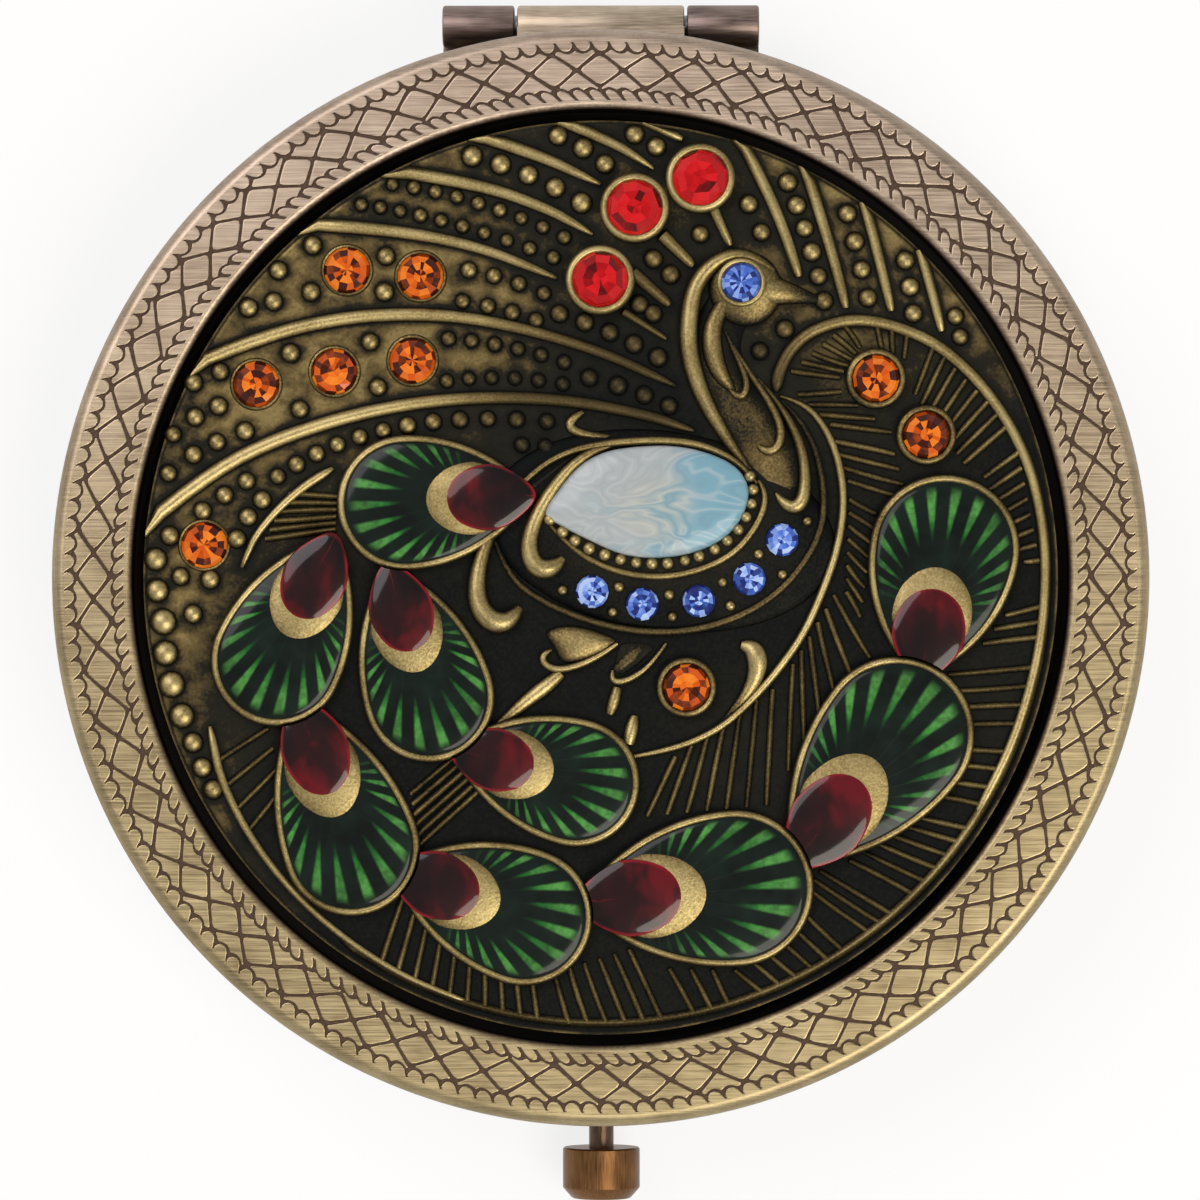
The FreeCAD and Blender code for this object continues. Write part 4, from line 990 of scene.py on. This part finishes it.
# Patches of the ground that are rubbed bright: place, reach and how much.
RUBBED = [
    ((-15.0, 17.0), 11.5, 0.52), ((-26.0, 5.0), 7.0, 0.3), ((16.0, 20.5), 8.0, 0.46), ((17.0, 16.0), 9.0, 0.2),
    ((-12.0, 17.0), 10.0, 0.08), ((1.0, 26.0), 6.5, 0.34),
    ((-23.0, 11.0), 6.0, 0.3), ((-17.0, 15.0), 4.5, 0.22), ((-17.0, 19.5), 6.0, 0.28), ((-12.5, 18.6), 4.0, 0.2),
    ((-27.0, 1.0), 4.0, 0.3), ((-6.0, 18.2), 3.5, 0.25), ((-13.0, 25.0), 3.0, 0.2), ((-6.0, 13.5), 3.0, 0.2),
    ((11.6, 26.2), 1.8, 0.5), ((15.4, 24.1), 1.8, 0.5), ((19.2, 21.3), 1.7, 0.5), ((22.6, 17.8), 1.6, 0.45),
    ((24.3, 15.4), 1.6, 0.4), ((26.0, 12.2), 1.4, 0.35), ((-28.8, -4.2), 1.5, 0.4), ((-27.8, -8.4), 1.5, 0.4),
    ((-26.4, -12.2), 1.5, 0.45), ((-24.6, -15.6), 1.5, 0.45), ((-22.4, -18.7), 1.4, 0.4), ((-19.9, -21.4), 1.3, 0.35),
    ((-27.8, -4.0), 4.0, 0.5), ((-9.0, 26.5), 3.0, 0.3), ((-26.0, -11.0), 3.6, 0.5), ((10.5, 9.5), 1.6, 0.4),
    ((25.5, -8.0), 4.0, 0.14), ((9.0, -11.0), 4.5, 0.14), ((2.0, -26.5), 5.0, 0.06),
]


def arc(first, middle, last, count):
    """Points spaced evenly over a bend through three points."""
    a, m, b = (Vector(p) for p in (first, middle, last))
    knee = 2 * m - (a + b) / 2
    steps = [i / (count - 1) for i in range(count)]
    return [a * (1 - s) ** 2 + knee * (2 * s * (1 - s)) + b * s**2 for s in steps]


NEAR_EDGE = PLATE_R - 1.6  # beyond it a ridge runs off the plate


def tapered(points, width, top, rise):
    """A path with a level top. It sinks at its end, and at its start if it bends and begins inside the plate. Left of
    the bird it thins out along its way, and right of it hardly."""
    spots = [Vector(p) for p in points]
    left = min(spot.x for spot in spots) < 1
    ahead, back = spots[1] - spots[0], spots[-2] - spots[-1]
    inside = len(points) > 2 and spots[0].length < NEAR_EDGE
    if inside:
        spots.insert(1, spots[0] + ahead * min(0.3, 0.8 / ahead.length))
    spots.insert(-1, spots[-1] + back * min(0.45, (1.0 if left else 0.4) / back.length))
    last = len(spots) - 2
    thin = 0.42 if left else 0.22
    halves = [width / 2 * (1 - thin * (i / last) ** 1.2) for i in range(last + 1)]
    halves.append(0.18 if left else halves[-1] * 0.8)
    tops = [top] * (last + 1) + [0.2 if left else 0.28]
    if inside:
        halves[0], tops[0] = 0.2, 0.2
    return [(p.x, p.y, PLATE_TOP + high - rise * half, half) for p, high, half in zip(spots, tops, halves)]


def run_off(points):
    """The same way, begun a little further out where it starts near the plate's edge."""
    first, second = Vector(points[0]), Vector(points[1])
    if first.length < NEAR_EDGE:
        return points
    return [tuple(first + (first - second).normalized() * 0.9)] + points[1:]


def clipped(obj, radius):
    """Pulls what stands out past a radius back to it."""
    for vertex in obj.data.vertices:
        away = math.hypot(vertex.co.x, vertex.co.y) / MM
        if away > radius:
            vertex.co.x *= radius / away
            vertex.co.y *= radius / away
    return obj


def teardrop(quill, tip, width, inset, ends=28, flanks=18):
    """A feather's outline: a half circle, and two curved flanks that meet at the quill."""
    a, b = Vector(quill), Vector(tip)
    along = (b - a).normalized()
    across = Vector((-along.y, along.x))
    radius = width / 2 - inset
    centre = b - along * (width / 2)
    reach = (centre - a).length - inset
    flank = (reach**2 + radius**2) / (2 * radius)
    sweep = math.atan2(reach, flank - radius)
    spots = []
    for i in range(flanks):
        turn = sweep * (1 - i / flanks)
        spots.append(centre - along * (flank * math.sin(turn)) - across * (flank * math.cos(turn) - flank + radius))
    for i in range(ends):
        turn = math.pi * i / ends
        spots.append(centre + along * (radius * math.sin(turn)) - across * (radius * math.cos(turn)))
    for i in range(flanks):
        turn = sweep * i / flanks
        spots.append(centre - along * (flank * math.sin(turn)) + across * (flank * math.cos(turn) - flank + radius))
    return spots


def smooth_loop(points, steps=5):
    """A smooth closed outline through the points."""
    spots = [Vector(p) for p in points]
    out = []
    for i, here in enumerate(spots):
        before, after, next_one = spots[i - 1], spots[(i + 1) % len(spots)], spots[(i + 2) % len(spots)]
        for k in range(steps):
            s = k / steps
            bend = (after - before) * s + (2 * before - 5 * here + 4 * after - next_one) * s**2
            out.append(here + (bend + (3 * here - before - 3 * after + next_one) * s**3) / 2)
    return out


def oval(centre, along, half_long, half_short, count=48, point=0.0):
    """An oval outline, which point pulls to a tip at its far end."""
    across = Vector((-along.y, along.x))
    spots = []
    for i in range(count):
        turn = 2 * math.pi * i / count
        pinch = 1 - point * max(0, -math.cos(turn)) ** 1.5
        spots.append(centre + along * (half_long * math.cos(turn)) + across * (half_short * math.sin(turn) * pinch))
    return spots


def domed(name, outline, centre, low, edge, crown, rings=9, way=None):
    """A closed dome over an outline. The map holds the turn about the centre and the way out."""
    count = len(outline)
    levels = [(1.0, low, 1.0), (1.0, edge - 0.04, 1.0)]
    for i in range(1, rings + 1):
        share = math.cos(math.pi / 2 * i / (rings + 1))
        rise = math.sin(math.pi / 2 * i / (rings + 1))
        levels.append((share if i > 1 else 0.985, edge + (crown - edge) * rise**0.8, share))
    corners, outs = [], []
    for share, height, out in levels:
        corners += [tuple(centre + (p - centre) * share) + (PLATE_TOP + height,) for p in outline]
        outs += [out] * count
    corners += [tuple(centre) + (PLATE_TOP + crown,), tuple(centre) + (PLATE_TOP + low,)]
    outs += [0.0, 0.0]
    top, bottom = len(corners) - 2, len(corners) - 1
    faces = skin(0, len(levels), count)
    last = (len(levels) - 1) * count
    for i in range(count):
        j = (i + 1) % count
        faces += [(last + i, last + j, top), (j, i, bottom)]
    obj = mesh_object(name, corners, faces)
    sheet = obj.data.uv_layers.new(name="map")
    way = way or Vector((1, 0))
    for loop in obj.data.loops:
        x, y, _ = corners[loop.vertex_index]
        to = Vector((x, y)) - centre
        angle = math.atan2(way.x * to.y - way.y * to.x, way.dot(to)) if to.length > 1e-6 else 0.0
        sheet.data[loop.index].uv = (angle / RAY_PITCH, outs[loop.vertex_index])
    return obj


def cast(obj, material):
    """Dresses a piece of the medallion's cast brass."""
    return dress(obj, material, "lid", "medallion_brass")


RIM_HEIGHT, RIM_WIDTH = 0.85, 0.58
EYE_AT, EYE_LONG, EYE_WIDE = 0.345, 0.232, 0.277  # crescent, as shares of the feather's length and width
DROP_AT, DROP_LONG, DROP_WIDE = 0.222, 0.232, 0.245


def prism(name, outline, low, high):
    count = len(outline)
    corners = [tuple(p) + (PLATE_TOP + low,) for p in outline] + [tuple(p) + (PLATE_TOP + high,) for p in outline]
    faces = [range(count), range(count, 2 * count)] + skin(0, 2, count)
    return tidy_mesh(mesh_object(name, corners, faces))


def near(first, second):
    """Whether two feathers can touch."""
    middles = [(Vector(a) + Vector(b)) / 2 for a, b, _ in (first, second)]
    reach = sum((Vector(a) - Vector(b)).length / 2 for a, b, _ in (first, second))
    return (middles[0] - middles[1]).length < reach + 1.0


def feathers():
    """Rims, enamels, crescents and drops. Each feather is cut by those that lie over it."""
    kinds = {"rims": [], "enamels": [], "moons": [], "drops": []}
    for place, (quill, tip, width) in enumerate(FEATHERS):
        a, b = Vector(quill), Vector(tip)
        along, long = (b - a).normalized(), (b - a).length
        z = PLATE_TOP + RIM_HEIGHT / 2
        path = [(p.x, p.y, z, RIM_WIDTH / 2) for p in teardrop(quill, tip, width, RIM_WIDTH / 2)]
        eye = a + along * (EYE_AT * long)
        eye_line = oval(eye, along, EYE_LONG * long, EYE_WIDE * width)
        drop = a + along * (DROP_AT * long)
        drop_line = oval(drop, along, DROP_LONG * long, DROP_WIDE * width, 48, 0.38)
        inner = teardrop(quill, tip, width, RIM_WIDTH * 0.7)
        made = {
            "rims": swept(f"rim_{place}", [(path, False, True)], RIM_HEIGHT / RIM_WIDTH, RIM),
            "enamels": domed(f"enamel_{place}", inner, eye, 0.1, 0.66, 0.98, way=along),
            "moons": domed(f"moon_{place}", eye_line, eye, 0.2, 0.74, 1.14, 6),
            "drops": domed(f"drop_{place}", drop_line, drop, 0.3, 0.98, 1.3, 7, way=along),
        }
        for kind, obj in made.items():
            tidy_mesh(obj, 50)
            covers = [f for f in FEATHERS[:place] if near(f, FEATHERS[place])]
            if covers:
                obj = cut(obj, [prism("cover", teardrop(*f, -0.02), -1, 3) for f in covers])
            kinds[kind].append(tidy_mesh(obj, 50))
    cast(joined("feather_rims", kinds["rims"]), RIM)
    cast(joined("feather_crescents", kinds["moons"]), MOON)
    dress(joined("feather_enamels", kinds["enamels"]), GREEN, "lid", "green_enamel", "feather_enamel")
    dress(joined("feather_eyes", kinds["drops"]), RED, "lid", "red_enamel", "feather_drops")


def plate():
    """The medallion's ground. It is rubbed in patches, and painted with shade round the foot of all that stands on it.
    """
    rings, segments = 110, 360
    edge = SEEN_R - 0.35
    radii = np.repeat(edge * np.arange(1, rings + 1) / rings, segments)
    turns = np.tile(2 * np.pi * np.arange(segments) / segments, rings)
    spots = np.concatenate([[[0, 0]], np.stack([radii * np.cos(turns), radii * np.sin(turns)], 1)])
    wear = np.full(len(spots), 0.04)
    for place, reach, share in RUBBED:
        wear += share * np.exp(-((spots - place) ** 2).sum(1) / reach**2)
    wear = np.minimum(wear, 0.7)
    # Painted shade round the foot of every bead and ridge.
    for place, reach in standing():
        gap = np.maximum(np.hypot(*(spots - place).T) - reach, 0)
        wear *= 1 - 0.62 * np.exp(-((gap / 0.3) ** 2))
    corners = [(x, y, PLATE_TOP) for x, y in spots]
    wear = list(wear)
    # Round the rim a light line, rubbed and partly a painted highlight; the side below it is dark.
    outer = [
        (edge + 0.12, PLATE_TOP + 0.08, 0.3),
        (SEEN_R - 0.07, PLATE_TOP + 0.06, 0.62),
        (SEEN_R, PLATE_TOP - 0.1, 0.1),
        (SEEN_R, PLATE_LOW, 0.0),
    ]
    for radius, z, worn in outer:
        corners += [(radius * math.cos(u), radius * math.sin(u), z) for u in turns[:segments]]
        wear += [worn] * segments
    faces = [(0, 1 + i, 1 + (i + 1) % segments) for i in range(segments)]
    faces += skin(1, rings + len(outer), segments)
    faces.append(range(len(corners) - segments, len(corners)))
    obj = tidy_mesh(mesh_object("medallion_ground", corners, faces, wear), 40)
    dress(obj, FIELD, "lid", "medallion_brass", "medallion")


def bead_spots():
    """Places and sizes of all beads."""
    spots = [(spot, 1.0) for spot in BEADS]
    for first, middle, last, count, size in BEAD_ROWS:
        spots += [(tuple(p), size) for p in arc(first, middle, last, count)]
    return spots


def standing():
    """Places and radii of what stands on the ground, with the ridges as rows of places."""
    found = [(spot, 0.56 * size) for spot, size in bead_spots()]
    for points, width in RIDGES:
        for (a, b), (c, d) in zip(points, points[1:]):
            steps = max(2, round(math.hypot(c - a, d - b) / 0.6))
            found += [((a + (c - a) * i / steps, b + (d - b) * i / steps), 0.36 * width) for i in range(steps + 1)]
    return found


RIDGE_TOP, RIDGE_RISE = 0.46, 0.95
RIB_STEPS = 60
BARB_SHARE = 1.4  # barbs made for each one counted


def tail_rib():
    """The way of the rib round the tail, which is lower towards its end."""
    radius, start, end = TAIL_RIB
    way = []
    for i in range(RIB_STEPS + 1):
        turn = math.radians(start + (end - start) * i / RIB_STEPS)
        low = PLATE_TOP - 0.12 - 0.13 * min(1, max(0, i - 15) / 22)
        way.append((radius * math.cos(turn), radius * math.sin(turn), low, 0.39 if 0 < i < RIB_STEPS else 0.2))
    return way


def barb(root, tip):
    """The way of a barb, a little bent and uneven. By the tail's rib it begins at the rib."""
    along = (tip - root).normalized()
    if root.y < -1.5 and root.x > -22 and root.length > 24:
        root, tip = root - along * max(0.0, TAIL_RIB[0] - 0.1 - root.length), tip + along * 0.8
    jog = random.uniform(-0.08, 0.08)
    middle = (root + tip) / 2 + Vector((jog, jog))
    widths = [random.uniform(0.9, 1.1) * w for w in (0.22, 0.24, 0.2)]
    return [(p.x, p.y, PLATE_TOP, r) for p, r in zip((root, middle, tip), widths)]


def field():
    """Ridges, barbs and rows of beads on the ground."""
    paths = []
    for points, width in RIDGES:
        paths.append((tapered(run_off(points), width, RIDGE_TOP, RIDGE_RISE), len(points) > 2, False))
    cast(clipped(swept("field_ridges", paths, RIDGE_RISE, RIDGE), SEEN_R - 0.1), RIDGE)
    paths = [(tail_rib(), True, False)]
    for (a, b), (c, d), count in BARBS:
        count = round(count * BARB_SHARE)
        for i in range(count):
            root, tip = (Vector(p).lerp(Vector(q), i / (count - 1)) for p, q in ((a, c), (b, d)))
            paths.append((barb(root, tip), True, False))
    cast(swept("tail_barbs", paths, 1.4, BARB, 8), BARB)
    spots = []
    for spot, size in bead_spots():
        spots.append((*spot, PLATE_TOP, size * random.uniform(0.95, 1.05), random.uniform(0, 6.28)))
    dome = [(0, -0.08), (0.66, -0.08), (0.64, 0.12), (0.55, 0.3), (0.38, 0.43), (0.16, 0.5), (0, 0.51)]
    cast(set_on("field_beads", tidy_mesh(turned("bead", dome, 12), 80), spots, BEAD), BEAD)


BODY_AT, BODY_WAY = Vector((3.9, 2.9)), Vector((0.99, -0.139))
HEAD_AT, LEVEL = Vector((9.3, 18.35)), Vector((1, 0))
SPINE = [  # places and half widths down the neck
    (8.6, 17.8, 1.5), (7.2, 15.6, 1.7), (7.5, 12.8, 1.8), (8.8, 10.6, 2.1), (10.3, 8.4, 2.3), (11.5, 6.0, 2.1),
    (11.9, 4.0, 1.2),
]


def bird():
    """Body, neck, head, beak and the curled lines over them."""
    body = domed("body", oval(BODY_AT, BODY_WAY, 11.2, 6.4, 72), BODY_AT, -0.1, 0.05, 0.6, 8)
    body.data.materials.append(BODY)
    neck = swept("neck", [([(x, y, PLATE_TOP - 0.05, r) for x, y, r in SPINE], True, False)], 0.22, NECK)
    cast(joined("bird_body", [tidy_mesh(body, 60), neck]), None)
    parts, scrolls = [], []
    for seat, rise, spots in BIRD_LINES:
        way = [(x, y, PLATE_TOP + seat + 0.15 * r, r) for x, y, r in spots]
        (scrolls if seat < 0.2 else parts).append(swept("line", [(way, True, False)], rise, BIRD))
    for outline, crown in zip(LEAVES, (0.42, 0.2)):
        middle = sum((Vector(p) for p in outline), Vector((0, 0))) / len(outline)
        scrolls.append(tidy_mesh(domed("leaf", smooth_loop(outline), middle, -0.1, 0.04, crown, 5), 60))
    cast(joined("bird_scrolls", scrolls), SCROLL)
    head = domed("head", oval(HEAD_AT, LEVEL, 2.35, 2.4, 40), HEAD_AT, -0.1, 0.22, 0.92, 8)
    turns = [2 * math.pi * i / 24 for i in range(24)]
    socket = [(EYE[0] + 1.4 * math.cos(u), EYE[1] + 1.4 * math.sin(u), PLATE_TOP + 1.12, 0.17) for u in turns]
    cup = domed("cup", oval(Vector(EYE), LEVEL, 1.45, 1.45, 24), Vector(EYE), -0.1, 1.06, 1.12, 3)
    parts += [tidy_mesh(head, 60), tidy_mesh(cup, 60), swept("socket", [(socket, True, True)], 1.0, BIRD)]
    cast(joined("bird_relief", parts), BIRD)


def cabochon():
    gem = domed("back_gem", smooth_loop(GEM_EDGE), Vector((3.2, 4.7)), 0.5, 0.85, 1.45, 10)
    dress(tidy_mesh(gem, 60), PEARL, "lid", "pearl", "body_cabochon")
    spots = [(x, y, PLATE_TOP + 0.6, random.uniform(1.1, 1.25), 0.0) for x, y in GEM_PELLETS]
    spots += [(x, y, PLATE_TOP + 0.38, random.uniform(1.0, 1.15), 0.0) for x, y in PELLETS]
    dome = [(0, -0.25), (0.34, -0.25), (0.34, 0.0), (0.33, 0.14), (0.26, 0.28), (0.14, 0.36), (0, 0.38)]
    cast(set_on("gem_pellets", tidy_mesh(turned("pellet", dome, 10), 80), spots, GRAIN), GRAIN)


def cut_stone(name, light, dark, share, sides=14):
    """A round stone of unit radius: broken facets under a flat table, a crown of facets and a girdle. Each facet gets
    a painted brightness that stands for the light sent back through it. light and dark are the spans of that painted
    brightness, and share is how many of the facets are dark."""
    rings = [(0.0, 0.3), (0.27, 0.3), (0.6, 0.3), (0.87, 0.15), (1.0, 0.0), (0.96, -0.2)]
    shift = []
    for ring in range(len(rings)):
        shift.append([random.uniform(-0.26, 0.26) if 0 < ring < 4 else 0.0 for i in range(sides)])
    corners, faces, facet_glints = [], [], []

    def spot(ring, i):
        radius, z = rings[ring]
        turn = 2 * math.pi * (i + shift[ring][i % sides]) / sides
        return (radius * math.cos(turn), radius * math.sin(turn), z)

    def facet(spots, depth):
        first = len(corners)
        corners.extend(spots)
        faces.append(tuple(range(first, first + len(spots))))
        facet_glints.append(depth)

    # A facet's painted brightness, a painted reflection; more makes a dark one likelier.
    def depth(more):
        return random.uniform(*(dark if random.random() < share * more else light))

    for i in range(sides):
        facet([spot(0, 0), spot(1, i), spot(1, i + 1)], depth(0.5))
        for ring, more in ((1, 1.0), (2, 1.0), (3, 1.3)):
            facet([spot(ring, i), spot(ring + 1, i), spot(ring + 1, i + 1), spot(ring, i + 1)], depth(more))
        facet([spot(4, i), spot(5, i), spot(5, i + 1), spot(4, i + 1)], 0.05)
    facet([spot(5, i) for i in range(sides)], 0.05)
    obj = mesh_object(name, corners, faces)
    layer = obj.data.attributes.new("wear", "FLOAT", "FACE")
    layer.data.foreach_set("value", facet_glints)
    return obj


# Painted facet reflections: some kinds of stone get more dark facets.
MORE_DARK_REFLECTIONS = (0.75, 1.0, 1.5, 1.3, 0.9)  # how much oftener the kinds of a stone have a dark facet
CUP = [
    (0, -1.3), (1.3, -1.3), (1.29, -0.05), (1.22, 0.06), (1.12, 0.1), (1.03, 0.06), (1.0, -0.02), (1.0, -0.3),
    (0, -0.3),
]
SEAT_RING = [(0.9, -0.3), (1.14, -0.3), (1.13, 0.0), (1.07, 0.05), (1.0, 0.03), (0.97, -0.05)]


def gems(name, finish, slot, node, placed, light, dark, share, sides, first=()):
    """Stones of one colour in a few kinds, at places with a radius and a height. first are stones made before."""
    made = list(first)
    for kind, more in enumerate(MORE_DARK_REFLECTIONS):
        chosen = placed[kind :: len(MORE_DARK_REFLECTIONS)]
        if chosen:
            spots = [(x, y, PLATE_TOP + height, radius, random.uniform(0, 6.28)) for (x, y), radius, height in chosen]
            made.append(set_on(name, cut_stone(name + "_one", light, dark, share * more, sides), spots, finish))
    whole = joined(name, made)
    whole.data.shade_flat()
    dress(whole, finish, "lid", slot, node)


def holders(name, shape, places):
    """A turned shape at every place, which has a height and a radius."""
    spots = [(x, y, PLATE_TOP + height, radius, 0.0) for (x, y), height, radius in places]
    return tidy_mesh(set_on(name, tidy_mesh(shape, 50), spots, RIM), 50)


def stones():
    """Cut stones, the cups of the raised ones and the thin rims of the others."""
    placed = [(p, 1.84, 1.1) for p in RED_STONES]
    gems("red_stones_cut", RED_GLASS, "red_glass", "red_stones", placed, (0.4, 0.7), (0.08, 0.3), 0.2, 9)
    placed = [(p, 1.5, 0.0) for p in AMBER_FLUSH] + [(p, 1.5, 0.6) for p in AMBER_CUPS]
    gems("amber_stones_cut", AMBER_GLASS, "amber_glass", "amber_stones", placed, (0.36, 0.86), (0.0, 0.24), 0.4, 14)
    eye = cut_stone("eye_stone", (0.24, 0.78), (0.0, 0.22), 0.36, 20)
    eye = set_on("blue_stones_cut", eye, [(*EYE, PLATE_TOP + 1.2, 1.25, 0.4)], BLUE_GLASS)
    placed = [(p, 1.05, 0.65) for p in BELLY_STONES]
    gems("blue_stones_cut", BLUE_GLASS, "blue_glass", "blue_stones", placed, (0.35, 1.0), (0.0, 0.3), 0.34, 14, [eye])
    raised = [(p, 1.08, 1.72) for p in RED_STONES] + [(p, 0.6, 1.5) for p in AMBER_CUPS]
    cast(holders("stone_cups", turned("cup", CUP, 40), raised), RIM)
    flush = [(p, 0.06, 1.5) for p in AMBER_FLUSH]
    cast(holders("stone_seats", turned("seat", SEAT_RING, 36), flush), SEAT)


plate()
field()
feathers()
bird()
cabochon()
stones()


# Nodes that keep their own shape get their finish here.

def finish_nodes():
    kept = {
        BEZEL: ["base_bezel", "lid_bezel"],
        MIRROR: ["base_mirror", "lid_mirror"],
        STEEL: ["hinge_pin", "latch_housing", "latch_slide", "lid_catch"],
    }
    for material, names in kept.items():
        for name in names:
            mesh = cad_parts[name].data
            mesh.materials.clear()
            mesh.materials.append(material)


# Floor, light and camera.

FLOOR_HALF, FLOOR_DROP = 1500, 0.02
FLOOR_GLOW = 0.82  # how much of the floor that is seen shines by itself


def floor():
    square = ((-1, -1), (1, -1), (1, 1), (-1, 1))
    plane = mesh_object("floor", [(x * FLOOR_HALF, y * FLOOR_HALF, -FLOOR_DROP) for x, y in square], [(0, 1, 2, 3)])
    material = bpy.data.materials.new("pale_floor")
    material.use_nodes = True
    tree = material.node_tree
    tree.nodes.clear()

    def math_node(operation, first, second):
        return add(tree, "ShaderNodeMath", {0: first, 1: second}, operation=operation).outputs[0]

    rays = add(tree, "ShaderNodeLightPath").outputs
    seen = math_node("MAXIMUM", rays["Is Camera Ray"], rays["Is Glossy Ray"])
    share = math_node("MULTIPLY", math_node("MAXIMUM", seen, rays["Is Transmission Ray"]), FLOOR_GLOW)
    matt = add(tree, "ShaderNodeBsdfDiffuse", {"Color": (0.86, 0.86, 0.85, 1)})
    white = add(tree, "ShaderNodeEmission", {"Color": (1, 1, 1, 1), "Strength": 1.0})
    both = add(tree, "ShaderNodeMixShader", {0: share, 1: matt.outputs[0], 2: white.outputs[0]})
    add(tree, "ShaderNodeOutputMaterial", {"Surface": both.outputs[0]})
    plane.data.materials.append(material)


def lamp(name, place, size, power, colour):
    """A round lamp that faces the middle of the scene."""
    data = bpy.data.lights.new(name, "AREA")
    data.shape = "DISK"
    data.size = size
    data.energy = power
    data.color = colour
    obj = link(bpy.data.objects.new(name, data))
    obj.location = place
    obj.rotation_euler = (-Vector(place)).to_track_quat("-Z", "Y").to_euler()


def light():
    """A pale room, whose walls are brighter where metal mirrors them, and two lamps."""
    world = bpy.data.worlds.new("studio")
    world.use_nodes = True
    tree = world.node_tree
    sky = tree.nodes["Background"]
    sky.inputs["Color"].default_value = (1.0, 0.99, 0.98, 1)
    rays = add(tree, "ShaderNodeLightPath")
    way = add(tree, "ShaderNodeSeparateXYZ", {0: add(tree, "ShaderNodeTexCoord").outputs["Generated"]})
    by_height = {"Value": way.outputs["Z"], 1: 0.3, 2: 0.95, 3: 0.76, 4: 0.3}
    walls = add(tree, "ShaderNodeMapRange", by_height, interpolation_type="SMOOTHSTEP")
    strengths = {0: rays.outputs["Is Glossy Ray"], 2: 0.32, 3: walls.outputs[0]}
    level = add(tree, "ShaderNodeMix", strengths, data_type="FLOAT")
    tree.links.new(level.outputs[0], sky.inputs["Strength"])
    bpy.context.scene.world = world
    lamp("key", (0.2, -0.24, 0.5), 0.36, 2.3, (1.0, 0.95, 0.84))
    lamp("fill", (-0.26, 0.24, 0.52), 0.42, 1.75, (1.0, 0.95, 0.97))
    bpy.context.scene.view_settings.view_transform = "Standard"


def camera():
    """Almost straight above."""
    away, view, sensor = 330.0, 76.3, 36.0
    aim = Vector((0, -1.55, LID_TOP))
    lean = Vector((0.01, -0.03, 1)).normalized()
    data = bpy.data.cameras.new("camera")
    data.sensor_width = sensor
    data.lens = sensor * away / view
    data.clip_start = 0.01
    obj = link(bpy.data.objects.new("camera", data))
    obj.location = (aim + lean * away) * MM
    right = Vector((0, 1, 0)).cross(lean).normalized()
    obj.rotation_euler = Matrix((right, lean.cross(right), lean)).transposed().to_euler()
    bpy.context.scene.camera = obj


finish_nodes()
floor()
light()
camera()
